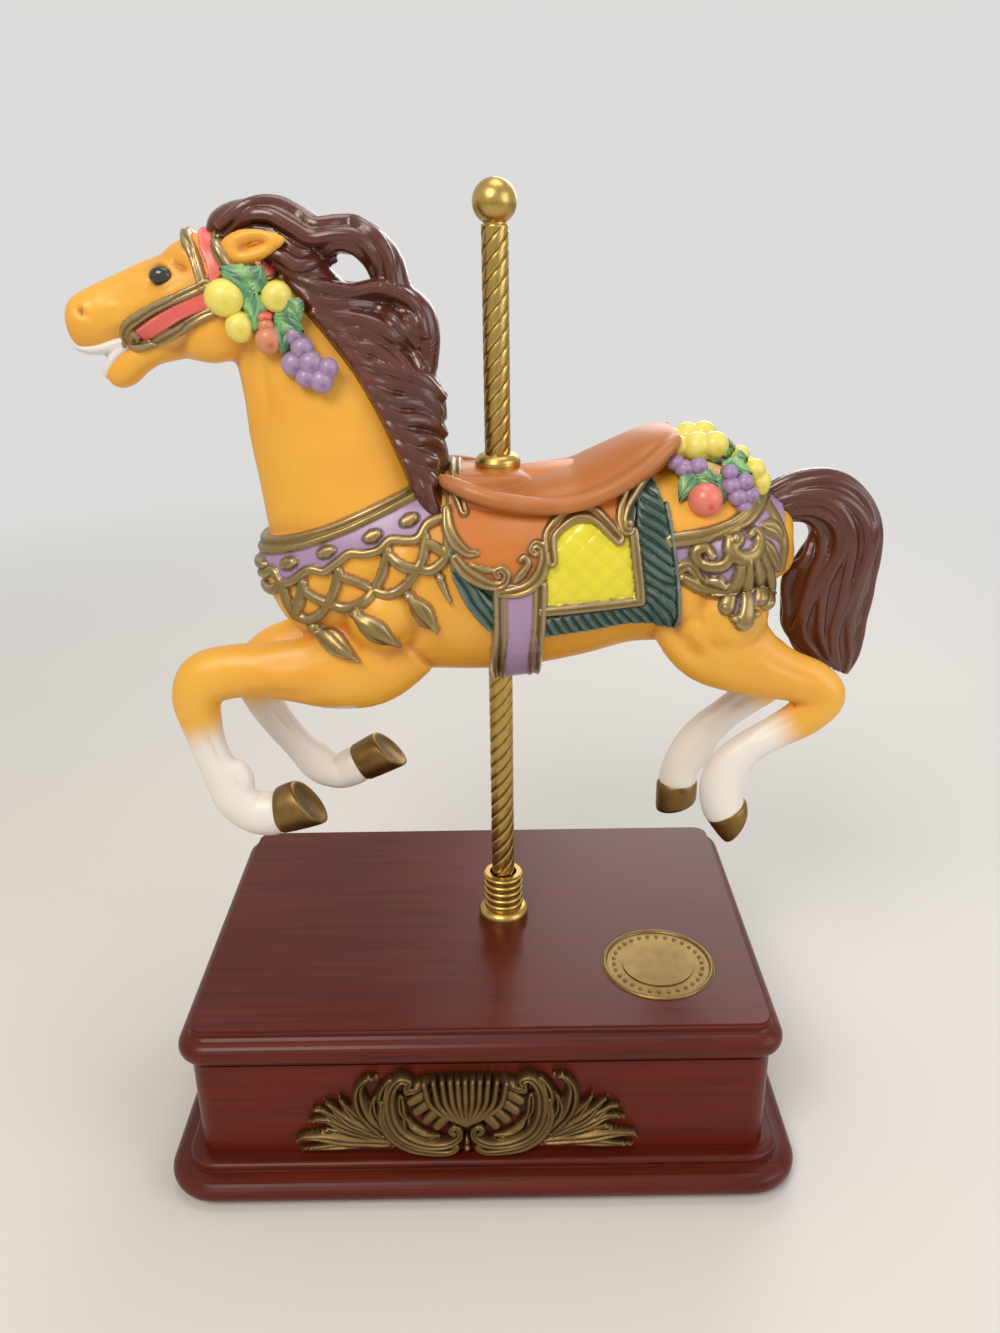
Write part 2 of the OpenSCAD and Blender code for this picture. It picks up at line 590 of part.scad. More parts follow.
module saddle_ferrule() color("#B8963E") at([pole_x, 0]) difference() {
    union() {
        rod(ferrule_d / 2, ferrule_z, ferrule_z + 1.6);
        translate([0, 0, ferrule_z + 1.6]) rotate_extrude($fn = round_fn) polygon(concat([[0, 0]],
            [for (i = [0:6]) [pole_r + 0.4 + (ferrule_d / 2 - pole_r - 0.4) * cos(15 * i), 3 * sin(15 * i)]],
            [[0, 3]]));
    }
    rod(pole_r, ferrule_z + 2, ferrule_z + 9);
    rod(rod_r, ferrule_z - 1, ferrule_z + 9);
}

// ---- horse ----
// The horse's drawing sits in the case's frame, with the pole's axis at
// x = 8 and the belly at z = 161.
draft_at = [8, 0, 161];
module drawn() translate([pole_x, 0, belly_z]) scale(k) translate(-draft_at) children();

// Smooth flow through stations [x, y, z, half depth, half width].
function pick(st, i) = st[max(0, min(len(st) - 1, i))];
function glide(p, q, r, s, t) =
    0.5 * ((2 * q) + (r - p) * t + (2 * p - 5 * q + 4 * r - s) * t * t + (3 * q - p - 3 * r + s) * t * t * t);
function flow(st, n) = concat([for (i = [0:len(st) - 2]) for (j = [0:n - 1])
    glide(pick(st, i - 1), st[i], st[i + 1], pick(st, i + 2), j / n)], [st[len(st) - 1]]);
function spot(s) = [s[0], s[1], s[2]];
function unit(v) = v / norm(v);
function bow(v, e) = sign(v) * pow(abs(v), 2 / e);
function ring_at(rings, i, sides, g, e) = let (
    t = unit(spot(pick(rings, i + 1)) - spot(pick(rings, i - 1))),
    n = unit(cross([0, 1, 0], t)), b = cross(t, n), s = rings[i],
    end = i == 0 ? -g : i == len(rings) - 1 ? g : 0,
    a = max(0.2, s[3] + g), w = max(0.2, s[4] + g))
    [for (j = [0:sides - 1]) let (c = 360 * j / sides)
        spot(s) + end * t + bow(cos(c), e) * a * n + bow(sin(c), e) * w * b];
// A smooth body through stations; g grows it, e squares its section.
module limb(st, n = 2, sides = 14, g = 0, e = 2) {
    rings = flow(st, n);
    m = len(rings);
    polyhedron(points = [for (i = [0:m - 1]) each ring_at(rings, i, sides, g, e)],
        faces = concat([[for (j = [0:sides - 1]) j]], [[for (j = [sides - 1:-1:0]) (m - 1) * sides + j]],
            [for (i = [0:m - 2], j = [0:sides - 1]) let (p = i * sides + j, q = i * sides + (j + 1) % sides)
                each [[p, p + sides, q + sides], [p, q + sides, q]]]));
}
// A rounded lump between two points, each [x, y, z, r].
module lump(p, q, fn = 10) hull() {
    translate(spot(p)) sphere(r = p[3], $fn = fn);
    translate(spot(q)) sphere(r = q[3], $fn = fn);
}
module chain(pts, fn = bead_fn) for (i = [0:len(pts) - 2]) lump(pts[i], pts[i + 1], fn);
// A bar that is drawn in side view (x, z) and runs right through the horse.
module side_view(pts, y0 = -60, y1 = 60) translate([0, y1, 0]) rotate([90, 0,
    0]) linear_extrude(y1 - y0) polygon(pts);
module both() {
    children();
    mirror([0, 1, 0]) children();
}

torso = [[100.5, 0, 199, 4, 5], [98, 0, 199, 9, 10], [93, 0, 200, 14.5, 15], [85, 0, 200, 20.5, 19.5],
    [73, 0, 200, 26.5, 22], [60, 0, 199, 29, 22.6], [45, 0, 197.5, 28.5, 22.6], [28, 0, 194.5, 30, 23],
    [8, 0, 192, 31, 22.8], [-12, 0, 193, 32, 22.5], [-30, 0, 193.5, 31.5, 22], [-44, 0, 194, 27.5, 20.5],
    [-54, 0, 194, 22, 18], [-61, 0, 193.5, 15, 13.5], [-65, 0, 193, 7, 7]];
neck = [[-30, 0, 192, 28, 20], [-34, 0, 203, 28.5, 19], [-37, 0, 215, 27.5, 17], [-40, 0, 228, 26, 14.8],
    [-44, 0, 242, 24, 12.8], [-48.5, 0, 255, 20.5, 11.4], [-54, 0, 267, 17, 10.4], [-60, 0, 276, 14, 9.6]];
head = [[-55, 0, 281, 8, 6], [-61, 0, 279.5, 13, 9], [-69, 0, 277, 17.6, 10.8], [-77, 0, 275.5, 17.6, 11.2],
    [-84, 0, 275, 15.4, 10.6], [-91, 0, 275.2, 11.6, 9.2], [-98, 0, 274, 9.7, 8], [-105, 0, 272.6, 8.2, 7.2],
    [-111, 0, 270.6, 7.6, 7.4], [-115, 0, 268.9, 6.4, 6.6], [-117, 0, 268, 3.4, 4]];
jaw = [[-84, 0, 263.5, 5.5], [-92, 0, 261, 4.4], [-100, 0, 257.8, 4.8], [-104.5, 0, 255.6, 3.6]];
masses = [[[-28, -12, 184, 14], [-40, -11, 172, 12]], [[-20, -12, 200, 11], [-34, -11, 190, 12]],
    [[76, -12, 200, 13], [78, -12, 182, 14]], [[62, -11, 190, 13], [70, -12, 178, 12]]];

module horse_form(g = 0) {
    limb(torso, 1, 18, g, 2.15);
    limb(neck, 1, 14, g, 2.05);
    both() for (s = masses) lump([each spot(s[0]), s[0][3] + g], [each spot(s[1]), s[1][3] + g], 8);
}
module head_form(g = 0) {
    limb(head, 1, 14, g, 2.1);
    both() lump([-76, -5.5, 266.5, 6.8 + g], [-71, -5.5, 269.5, 8 + g], 10);
    chain([for (p = jaw) [each spot(p), p[3] + g]], 8);
}
module rod_hole(r) at([pole_x, 0]) rod(r, belly_z - 40, belly_z + 90, 32);

module horse_body() color("#F2B33D") difference() {
    drawn() union() {
        horse_form();
        head_form();
    }
    drawn() limb(torso, 1, 10, -cast_wall);
    rod_hole(rod_r + rod_ease);
    at([pole_x, 0]) rod(pole_r, belly_z - 9, belly_z + socket_deep, 32);
}

// Legs: each is cast by itself and luted to the body.
left_fore = [[-24, -12, 176, 16, 8], [-34, -13.5, 168, 15.5, 9.4], [-45, -14.5, 165, 13, 9.2],
    [-56, -14.5, 165, 10.6, 8.4],
    [-67, -14.5, 165.2, 9, 7.6], [-77, -14.5, 165, 8.8, 7.2], [-85.5, -14.5, 162.5, 8.8, 7.2],
        [-89, -14.5, 155.5, 7.8, 7],
    [-88.4, -14.5, 147, 6.6, 5.8], [-86.8, -14.5, 138, 5.8, 5], [-84, -14.5, 129, 6.2, 5],
        [-80.6, -14.5, 120, 7, 5.6],
    [-75, -14.5, 114.5, 7.2, 5.8], [-69, -14.5, 114, 7.8, 6.4]];
right_fore = [[-24, 12, 176, 16, 8], [-36, 13.5, 169, 14.5, 9], [-48, 14.5, 166, 11.8, 8.6],
    [-60, 14.5, 163.5, 9.6, 8],
    [-70, 14.5, 160, 8.4, 7.4], [-76, 14.5, 153, 8, 7], [-75, 14.5, 144, 6.6, 5.8], [-70, 14.5, 134, 5.8, 5],
    [-63.5, 14.5, 125, 5.6, 5], [-57, 14.5, 117, 6.4, 5.6], [-50, 14.5, 114, 6, 5.6],
        [-44.5, 14.5, 116.5, 7, 6.2]];
left_hind = [[72, -11, 198, 14, 8], [71, -13, 186, 17.4, 9.4], [76.6, -14, 174, 16.4, 9.6],
    [88, -14.5, 165.5, 11.4, 8.6],
    [98, -14.8, 161.5, 8.6, 7], [107, -15, 158.5, 7.4, 6.2], [111.2, -15, 153.5, 6.8, 6],
        [105.5, -15, 147, 6.6, 5.6],
    [97.5, -14.8, 141.8, 5.8, 5], [89.5, -14.5, 136.6, 5.6, 4.9], [82.8, -14.5, 130, 6.4, 5.2],
        [79.6, -14.5, 122.4, 7.2, 5.8],
    [80.8, -14.5, 116, 7, 6]];
right_hind = [[72, 11, 198, 14, 8], [70.6, 13, 186, 17, 9.4], [76, 14, 173, 15.5, 9.4],
    [86, 14.5, 164, 11, 8.4],
    [95, 14.8, 158.5, 8.6, 7], [102, 15, 153.5, 7.6, 6.4], [100.5, 15, 146.5, 7, 6],
        [94, 14.8, 140.8, 6.2, 5.4],
    [87, 14.6, 135, 5.8, 5], [79.8, 14.5, 128, 6.2, 5.2], [74.4, 14.5, 120.5, 6.6, 5.6],
        [71.6, 14.5, 113, 6.6, 6]];
// A hoof: a flared block between its coronet and its sole. Each end is
// [x, z, half length, half width] and both turn with the angle given.
module hoof(y, top, sole, tilt) hull() {
    translate([top[0], y, top[1]]) rotate([0, -tilt[0], 0]) scale([1, 1, 0.15]) sphere(r = top[2], $fn = 14);
    translate([sole[0], y, sole[1]]) rotate([0, -tilt[1], 0]) scale([1, sole[3] / sole[2], 1])
        cylinder(r = sole[2], h = 0.8, $fn = 18);
}
module leg(st) {
    difference() {
        union() {
            limb(st, 1, 11);
            children();
        }
        horse_form();
    }
}
shoulder_knuckles = [[-40, -14, 165.5, 11], [-30, -13, 168, 12]];
// Knuckles of the joints, which also fill out the bends.
module knuckles(pts) for (p = pts) lump([each spot(p), p[3]], [p[0] + 0.6, p[1], p[2] - 0.6, p[3]], 8);
module left_foreleg() color("#F2B33D") drawn() leg(left_fore) {
    knuckles(concat([[-88, -14.5, 160, 7.8], [-80.4, -14.5, 119, 6.4]], shoulder_knuckles));
    chain([[-79, -14.5, 133, 3.6], [-76.6, -14.5, 127.4, 3.6], [-75.8, -14.5, 122.4, 3.2]], 10);
    hoof(-14.5, [-67, 114.6, 7.6], [-55.9, 118, 8.8, 7.6], [-84, -52]);
    lump([-72, -14.5, 112.4, 6], [-68, -14.5, 112.6, 6.6], 10);
}
module right_foreleg() color("#F2B33D") drawn() leg(right_fore) {
    knuckles([[-76, 14.5, 153, 7.2], [-56.6, 14.5, 116.6, 6]]);
    mirror([0, 1, 0]) knuckles(shoulder_knuckles);
    chain([[-62, 14.5, 127.5, 3], [-56, 14.5, 122, 3], [-52, 14.5, 119, 3]], 10);
    hoof(14.5, [-43, 117.2, 6.8], [-31.6, 123, 8, 7], [-62, -44]);
    lump([-50, 14.5, 114.8, 5], [-45, 14.5, 116.4, 6], 10);
}
module left_hindleg() color("#F2B33D") drawn() leg(left_hind) {
    knuckles([[110.6, -15, 156.4, 6.6], [80.4, -14.5, 125, 6], [72, -13, 184, 11], [82, -14, 168, 9]]);
    chain([[86.4, -14.5, 129.6, 3], [87, -14.5, 125, 3], [86.6, -14.5, 120.6, 3]], 10);
    hoof(-14.5, [82.2, 113.6, 7], [86, 107, 6.6, 6.4], [204, 237]);
    lump([80.8, -14.5, 118, 6], [82, -14.5, 114.6, 6.2], 10);
}
module right_hindleg() color("#F2B33D") drawn() leg(right_hind) {
    knuckles([[101.6, 15, 151.6, 6.8], [75.4, 14.5, 122, 6], [72, 13, 184, 11], [82, 14, 167, 9]]);
    chain([[81.4, 14.5, 123, 3], [80.4, 14.5, 118.6, 3], [77.6, 14.5, 114.6, 3]], 10);
    hoof(14.5, [71, 109, 7], [71, 99.2, 7.4, 6.8], [180, 196]);
    lump([72.2, 14.5, 114, 5.8], [71.2, 14.5, 110, 6.2], 10);
}

// Ears: two pointed leaves laid back along the poll, hollowed in front.
module ears() color("#F2B33D") drawn() difference() {
    both() difference() {
        chain([[-67, -7.5, 286, 4.4], [-61.5, -9, 288, 5], [-56, -9.4, 289.4, 3.2],
            [-51.2, -9, 290, 0.8]], 8);
        chain([[-64, -14.2, 288, 3], [-59.6, -14, 289.2, 3.2], [-55, -13, 290, 1.6]], 8);
    }
    horse_form();
    head_form();
}

// Mane: locks that rise over the poll, fly back and fall down the crest.
locks = [
    [[-71, 0, 294, 2.5, 5], [-66, -1, 299, 3.5, 6.5], [-56, -1.5, 299.5, 4.6, 7.5],
        [-46, -1.5, 294.5, 4.6, 7],
        [-38, -1.5, 292.5, 5, 6.5], [-28, -1.5, 291, 5.5, 6], [-21.5, -1, 285.5, 5, 5.5],
            [-19, -1, 277, 4.4, 5]],
    [[-62, -1, 289, 5, 6], [-53, -2, 286, 6, 7.5], [-44, -2, 280, 6, 7.5], [-36, -2, 276, 4.6, 6.5],
        [-27, -1.5, 277.5, 3.4, 5.5], [-20, -1, 279.5, 3, 5]],
    [[-42, -2, 278, 5.5, 7], [-33, -2, 270, 5.5, 7.5], [-22, -2, 268, 5.6, 7], [-15, -1.5, 270, 5.4, 6.5],
        [-11.5, -1, 264, 4.4, 5.5], [-12, -1, 256, 4, 5]],
    [[-24, -1, 276, 3.4, 4.5], [-17, -1, 276, 3.2, 4.6], [-11.5, -1, 272, 3.2, 4.6],
        [-9.8, -1, 265, 3, 4.4], [-11, -1, 257, 2.6, 4]],
    [[-34, -2, 266, 6, 7.5], [-26, -2.5, 258, 7, 8], [-18, -2.5, 254, 7.5, 7.5],
        [-11.5, -2, 249, 6, 6.5], [-9.5, -1.5, 240, 4.4, 5.4]],
    [[-27, -2.5, 255, 5.5, 8], [-20, -3, 246, 6.6, 8], [-14.5, -3, 239, 7, 7.6],
        [-10.5, -2.5, 230, 6, 6.6], [-9, -2, 222, 4.4, 5.5]],
    [[-17, -4, 240, 5, 8.4], [-14, -6, 230, 5, 9], [-12, -9, 221, 4.4, 8], [-10.4, -12.5, 214.5, 3, 6],
        [-8.4, -15.5, 209.5, 1.2, 3]]];
lock_beads = [[-60, -1, 297, 5], [-43, -2, 287, 5], [-37, -2, 274.6, 5], [-28, -2, 266, 5.4],
    [-24, -2.4, 252, 6], [-17, -2.4, 268, 5],
    [-14, -2.4, 240, 6], [-12, -3, 228, 5], [-20, -2.4, 260, 6.4]];
module mane_room() for (i = [5, 6]) limb(locks[i], 1, 8);
module lock_bead(b) lump(b, [b[0] + 3, b[1], b[2] - 2, b[3]], 6);
module mane() color("#5A3228") drawn() difference() {
    union() {
        for (l = locks) limb(l, 1, 8);
        for (b = lock_beads) lock_bead(b);
    }
    horse_form();
    head_form();
    ears_room();
    side_view([[-38, 279.5], [-34.4, 287], [-30, 286.4], [-26.4, 280.6], [-30, 278.6]]);
}
module ears_room() both() chain([[-67, -7.5, 286, 4.4], [-61.5, -9, 288, 5], [-56, -9.4, 289.4, 3.2],
    [-51.2, -9, 290, 0.8]], 8);

tail_st = [[86, 0, 211.5, 4, 4], [95, 0, 213.4, 5.6, 5], [104, 0, 214.8, 7.4, 6.2], [112.6, 0, 213, 9, 7],
    [118.6, 0, 205.6, 11.6, 7.6], [117.4, 0, 196, 13.2, 7.8], [113.8, 0, 186, 15, 7.6],
        [112.6, 0, 176, 14.6, 7],
    [113.4, 0, 167, 13, 6], [118, 0, 159.4, 7.4, 4.2], [123, 0, 155, 2, 2]];
module tail() color("#5A3228") drawn() difference() {
    union() {
        limb(tail_st, 1, 14, 0, 2.3);
        for (i = [0:3]) lump([100 + 5 * i, 0, 214 - i, 5], [104 + 5 * i, 0, 213.6 - 1.6 * i, 5.4], 6);
        for (i = [0:3]) lump([119 - i, 0, 204 - 9 * i, 7], [117 - i, 0, 198 - 9 * i, 7], 6);
    }
    horse_form();
    leg_room();
}
module leg_room() for (s = [[left_hind, -1], [right_hind, 1]]) {
    limb(s[0], 1, 11);
    lump([110.6, 15 * s[1], 156.4, 6.6], [111.2, 15 * s[1], 155.8, 6.6], 8);
}

// ---- saddlery: skins that follow the coat, cut to their outlines ----
module skin(g0, g1, pts) intersection() {
    difference() {
        horse_form(g1);
        horse_form(g0);
    }
    side_view(pts);
}
blanket_line = [[-8, 226], [-7, 202], [-5, 195], [-2, 189], [3, 183], [7, 178.5], [22, 178], [32, 180],
    [41, 181.5],
    [47, 182.5], [54, 181.5], [62, 180], [61.5, 190], [60, 203], [58.5, 215], [56, 226], [52, 236], [0, 240]];
flap_line = [[-7, 226], [-5.4, 212], [-3, 205], [1.5, 200], [5, 197.5], [8.5, 192], [13.5, 198],
    [18, 205], [20.5, 207.5],
    [24.5, 212.6], [31, 214.4], [37, 213.8], [43, 210.4], [45.6, 213.4], [48, 219.5], [54, 225.5],
        [53, 236], [0, 240]];
seat = [[-10.5, 0, 222.5, 2, 12], [-8, 0, 223, 5.4, 16], [-2, 0, 222.4, 7.6, 19], [8, 0, 221, 8.2, 21],
    [20, 0, 218, 7.6, 22],
    [32, 0, 219.4, 8.8, 22], [43, 0, 223.4, 9, 21.6], [52, 0, 228.6, 7.6, 20],
        [59, 0, 234.4, 4.6, 17.5], [62.5, 0, 237.6, 1.6, 13]];
seat_roll = [[-8, -16.5, 227, 2], [-2, -19.5, 220.5, 2], [5, -21.5, 217.6, 2], [14, -22.4, 215.8, 2],
    [23, -22.6, 215, 2],
    [32, -22.4, 216, 2], [40, -22, 218.2, 2], [46, -21.2, 221, 2], [52, -19.6, 225.4, 2],
        [57, -17.4, 230, 1.8], [61, -13, 235.4, 1.6]];
ferrule_ease = 0.1;
module ferrule_seat() at([pole_x, 0]) rod(ferrule_d / 2 + ferrule_ease, ferrule_z - ferrule_ease, belly_z + 120);
module saddle() color("#C8742F") difference() {
    drawn() difference() {
        union() {
            limb(seat, 1, 16, 0, 2.6);
            both() chain(seat_roll);
            skin(0, blanket_t + 1.2, flap_line);
        }
        skin(-4, blanket_t, blanket_line);
        horse_form();
    }
    drawn() mane_room();
    rod_hole(rod_r + rod_ease);
    ferrule_seat();
}
// The fringe is a thicker border along the blanket's front, lower and rear edges.
fringe_line = [[-8.4, 204], [-7.4, 202], [-5.4, 194.8], [-2.2, 188.7], [3, 182.6], [7, 178],
    [22, 177.6], [32, 179.6], [41, 181],
    [47, 182], [54, 181], [62.4, 179.6], [61.9, 190], [60.4, 203], [58.9, 215], [57.4, 222],
        [53, 222.4], [52, 206], [52.4, 190],
    [47, 189], [34, 187.4], [24, 186], [8, 190], [0, 197], [-3.4, 204.4]];
module saddle_blanket() color("#1F5A4A") difference() {
    drawn() union() {
        skin(0, blanket_t, blanket_line);
        skin(0, blanket_t + 0.7, fringe_line);
    }
    drawn() mane_room();
    rod_hole(rod_r + rod_ease);
    drawn() girth_band(strap_t + blanket_t + 2);
}
module girth_band(g) intersection() {
    horse_form(g);
    side_view([[8, 150], [8.5, 191], [22.5, 191], [23, 150]]);
}
module girth_strap() color("#A98AA8") difference() {
    drawn() difference() {
        union() {
            girth_band(strap_t);
            both() for (x = [9.4, 21.6], i = [0:3])
                lump([x, -21.6 + 1.2 * i, 188 - 5 * i, 1.6], [x, -20.4 + 1.6 * i, 183 - 5 * i, 1.6]);
        }
        horse_form();
    }
    at([pole_x, 0]) rod(pole_r, belly_z - 9, belly_z + socket_deep + 3, 32);
}

band_line = [[-68, 207.6], [-56, 207.4], [-44, 211.4], [-31, 216], [-20, 220.6], [-12.6, 224],
    [-9, 218], [-8.4, 211],
    [-11.6, 211.4], [-15, 207.6], [-21, 206.6], [-26, 208.4], [-29, 204.8], [-35, 203.4], [-40, 205],
        [-44, 200],
    [-50, 198.6], [-55, 200], [-58, 195], [-68, 194]];
net = [[[-44, 200], [-39, 190]], [[-39, 190], [-35, 203]], [[-57, 196], [-54, 185]], [[-54, 185], [-47, 187]],
    [[-28, 206], [-29, 196]], [[-47, 187], [-39, 190]], [[-39, 190], [-29, 196]],
    [[-29, 196], [-15, 201]], [[-15, 201], [-11, 211]]];
tassel_spots = [[[-51.6, 175.6], [-37, 164.6]], [[-38, 181], [-24.4, 172]], [[-20, 186.6], [-11, 175]]];
// A bar across the horse, drawn in side view from one end [x, z] to the other.
module across(p, q, rp, rq) hull() for (e = [[p, rp], [q, rq]])
    translate([e[0][0], 0, e[0][1]]) rotate([90, 0, 0]) cylinder(r = e[1], h = 70, center = true, $fn = 4);
tassel_y = -23.6;
module tassel(p, q) hull() {
    translate([p[0], tassel_y, p[1]]) sphere(r = 2, $fn = 5);
    translate([(p[0] + q[0]) / 2, tassel_y, (p[1] + q[1]) / 2]) sphere(r = 4.6, $fn = 6);
    translate([q[0], tassel_y, q[1]]) sphere(r = 1, $fn = 5);
}
module breast_collar() color("#8C7440") drawn() difference() {
    union() {
        intersection() {
            horse_form(strap_t);
            union() {
                side_view(band_line);
                for (n = net) across(n[0], n[1], 1.2, 1.2);
            }
        }
        both() for (t = tassel_spots) tassel(t[0], t[1]);
    }
    horse_form();
    leg_room_front();
    mane_room();
}
module leg_room_front() {
    for (s = [left_fore, right_fore]) limb(s, 1, 11);
    both() knuckles(shoulder_knuckles);
}

crupper_line = [[59.4, 209.6], [70, 210], [79, 212.4], [85.6, 217], [94, 222], [104, 210], [104, 190],
    [92, 190], [87, 185],
    [82, 183], [77, 184.6], [74, 189.6], [68, 190.4], [62, 193.6]];
shell_at = [79, 204];
module crupper() color("#8C7440") drawn() difference() {
    union() {
        skin(0, strap_t, crupper_line);
        intersection() {
            skin(0, strap_t + 1.2, crupper_line);
            for (i = [0:4]) let (a = -130 + 24 * i)
                across(shell_at, shell_at + [17 * cos(a), 19 * sin(a)], 1.2, 1.8);
        }
    }
    horse_form();
    limb(tail_st, 1, 14, 0, 2.3);
    leg_room();
}

// Fruit and leaves, each spot [x, y, z, r]. Round fruit has one spot and long fruit two.
module fruit(spots) lump(spots[0], spots[len(spots) - 1], 6);
rump_fruit = [[[67, -8, 234, 4.6], [70, -8, 234.4, 4.4]], [[66, -13.4, 227.6, 4.4],
    [62, -13.6, 226, 4]], [[69, -18, 219, 5.2]],
    [[78, -14, 224, 4.2], [80, -15, 219, 4]], [[74, -16.4, 226, 3], [70, -16, 228, 2.4]],
    [[86, -8, 224.4, 4], [87, -7, 221, 4]], [[79, -9, 230, 3], [84, -7, 228, 2.4]],
    [[60.6, -18, 224.6, 2.6], [64, -18.8, 221, 2]], [[78.6, -18, 214.6, 3.4], [84.4, -16, 214, 3]]];
rump_core = [[[66, -6, 226, 8], [80, -4, 222, 7]]];
cheek_fruit = [[[-69, -11, 277.4, 5.8]], [[-64, -10.4, 268.6, 4.6]], [[-53.6, -10.4, 276.8, 4.8]],
    [[-56, -11, 265, 4.2], [-56, -11, 269, 2.6]],
    [[-64.6, -9, 284, 3], [-60.4, -9.6, 281, 2.4]], [[-60, -10, 275, 3], [-58.6, -10.4, 271, 2.4]],
    [[-47.6, -11, 273, 3], [-44, -12, 268.6, 2.6]], [[-48, -12, 263, 3.6]],
    [[-49.6, -12.4, 256.6, 3.8], [-45.6, -13, 258, 3.8]], [[-42, -13.6, 253.6, 3.6], [-39.6, -14, 252, 3.4]]];
module fruit_garlands() color("#E0523C") drawn() difference() {
    both() for (f = concat(rump_fruit, rump_core, cheek_fruit)) fruit(f);
    horse_form();
    head_form();
    ears_room();
    limb(seat, 1, 16, 0, 2.6);
    both() chain(seat_roll);
    skin(-4, blanket_t + 1.2, flap_line);
    skin(-4, strap_t + 1.2, crupper_line);
    mane_top_room();
}

cheek_strap = [[-104, 266], [-101.6, 262.4], [-97, 262.8], [-70, 273.4], [-71.6, 283], [-99, 271.4]];
headband = [[-81, 296], [-67, 300], [-64.6, 290], [-68.6, 280.6], [-75.4, 282]];
module bridle() color("#E5696A") drawn() difference() {
    union() {
        intersection() {
            head_form(strap_t);
            union() {
                side_view(cheek_strap);
                side_view(headband);
            }
        }
        both() for (i = [0:5]) lump([-101 + 2.4 * cos(60 * i), -7.6, 266.6 + 2.8 * sin(60 * i), 0.9],
            [-101 + 2.4 * cos(60 * i + 60), -7.6, 266.6 + 2.8 * sin(60 * i + 60), 0.9], 6);
    }
    horse_form();
    head_form();
    ears_room();
    both() for (f = cheek_fruit) fruit(f);
    mane_top_room();
}
module mane_top_room() {
    for (i = [0:2]) limb(locks[i], 1, 8);
    for (i = [0:2]) lock_bead(lock_beads[i]);
}

top_board();
wall([0, -1]);  // front_wall
wall([0, 1]);  // back_wall
wall([-1, 0]);  // left_wall
wall([1, 0]);  // right_wall
plinth([0, -1]);  // plinth_front
plinth([0, 1]);  // plinth_back
plinth([-1, 0]);  // plinth_left
plinth([1, 0]);  // plinth_right
corner_blocks();
bottom_board();
board_screws();
foot_pads();
medallion();
front_ornament();
pole_collar();
collar_nut();
bedplate();
bedplate_screws();
ratchet_click();
bearing_brackets();
comb();
comb_screws();
cam_post();
guide_rod();
winding_arbor();
ratchet_wheel();
winding_key();
great_wheel();
spring_drum();
mainspring();
pinned_cylinder();
cylinder_arbor();
governor_frame();
governor_worm();
cam_wheel();
lift_cam();
cam_follower();
guide_arm();
pole_rod();
lower_pole();
upper_pole();
ball_finial();
saddle_ferrule();
horse_body();
left_foreleg();
right_foreleg();
left_hindleg();
right_hindleg();
ears();
mane();
tail();
saddle();
saddle_blanket();
girth_strap();
breast_collar();
crupper();
fruit_garlands();
bridle();
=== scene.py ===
"""Looks for a carousel music box: a cast porcelain horse, its painted relief and a lacquered case.

Lengths are in millimetres until a piece is finished, when its mesh is scaled to metres.
+X runs towards the tail, -Y towards the front of the case and +Z up. Side view means x and z.
"""

from __future__ import annotations

import logging
import math
from dataclasses import dataclass, field, replace
from enum import Enum
from typing import Callable, Sequence

import bmesh
import bpy
import numpy as np
from mathutils import Matrix, Vector
from mathutils.bvhtree import BVHTree

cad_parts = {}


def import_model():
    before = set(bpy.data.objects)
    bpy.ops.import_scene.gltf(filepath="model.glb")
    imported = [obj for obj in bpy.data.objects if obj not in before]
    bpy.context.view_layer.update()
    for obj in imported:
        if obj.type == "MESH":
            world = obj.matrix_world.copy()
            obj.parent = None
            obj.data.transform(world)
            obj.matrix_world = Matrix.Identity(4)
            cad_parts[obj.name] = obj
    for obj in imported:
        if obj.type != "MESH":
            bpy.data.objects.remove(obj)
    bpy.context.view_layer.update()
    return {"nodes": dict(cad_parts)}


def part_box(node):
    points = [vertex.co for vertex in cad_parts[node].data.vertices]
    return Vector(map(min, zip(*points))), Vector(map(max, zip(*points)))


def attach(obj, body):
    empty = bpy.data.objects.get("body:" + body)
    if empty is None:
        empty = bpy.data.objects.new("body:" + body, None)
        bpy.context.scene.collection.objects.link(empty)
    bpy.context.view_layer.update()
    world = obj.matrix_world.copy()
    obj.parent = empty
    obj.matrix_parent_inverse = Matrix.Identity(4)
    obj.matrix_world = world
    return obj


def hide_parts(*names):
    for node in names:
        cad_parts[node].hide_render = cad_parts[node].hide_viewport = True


LOG = logging.getLogger("music_box")
METRES = 0.001
TINY = 1e-9
NEAR, FAR = -1, 1  # the horse's sides, as signs of y
Array = np.ndarray
Lump = bmesh.types.BMesh
Mesh = bpy.types.Mesh
Piece = bpy.types.Object
Point = Sequence[float]
Rows = Sequence[Sequence[float]]
Tree = bpy.types.NodeTree


class Paint(Enum):
    """Colours of the paints, as sRGB hex values."""

    COAT = "F2B43C"
    COAT_SHADE = "DB8423"
    STOCKING = "EFE9DF"
    HAIR = "572819"
    SADDLE = "CC7626"
    SEAT = "B3661D"
    FRINGE = "0F3F32"
    QUILT = "E9DC2E"
    LAVENDER = "A98BAD"
    GILT = "8F7743"
    CORAL = "E7655F"
    LEAF = "7FB069"
    LEAF_DARK = "4B8460"
    GRAPE = "8A6A9E"
    LEMON = "EBD93A"
    APPLE = "DE4B3A"
    PEAR = "C9642B"
    EYE = "0B0807"
    TEETH = "E9E6E4"


def linear(hex_colour: str) -> tuple[float, float, float, float]:
    """Turns an sRGB hex colour to linear RGBA.

    Args:
        hex_colour: Six hex digits.

    Returns:
        The linear red, green and blue with an alpha of 1.
    """
    parts = [int(hex_colour[i:i + 2], 16) / 255 for i in (0, 2, 4)]
    light = [c / 12.92 if c <= 0.04045 else ((c + 0.055) / 1.055) ** 2.4 for c in parts]
    return (light[0], light[1], light[2], 1.0)


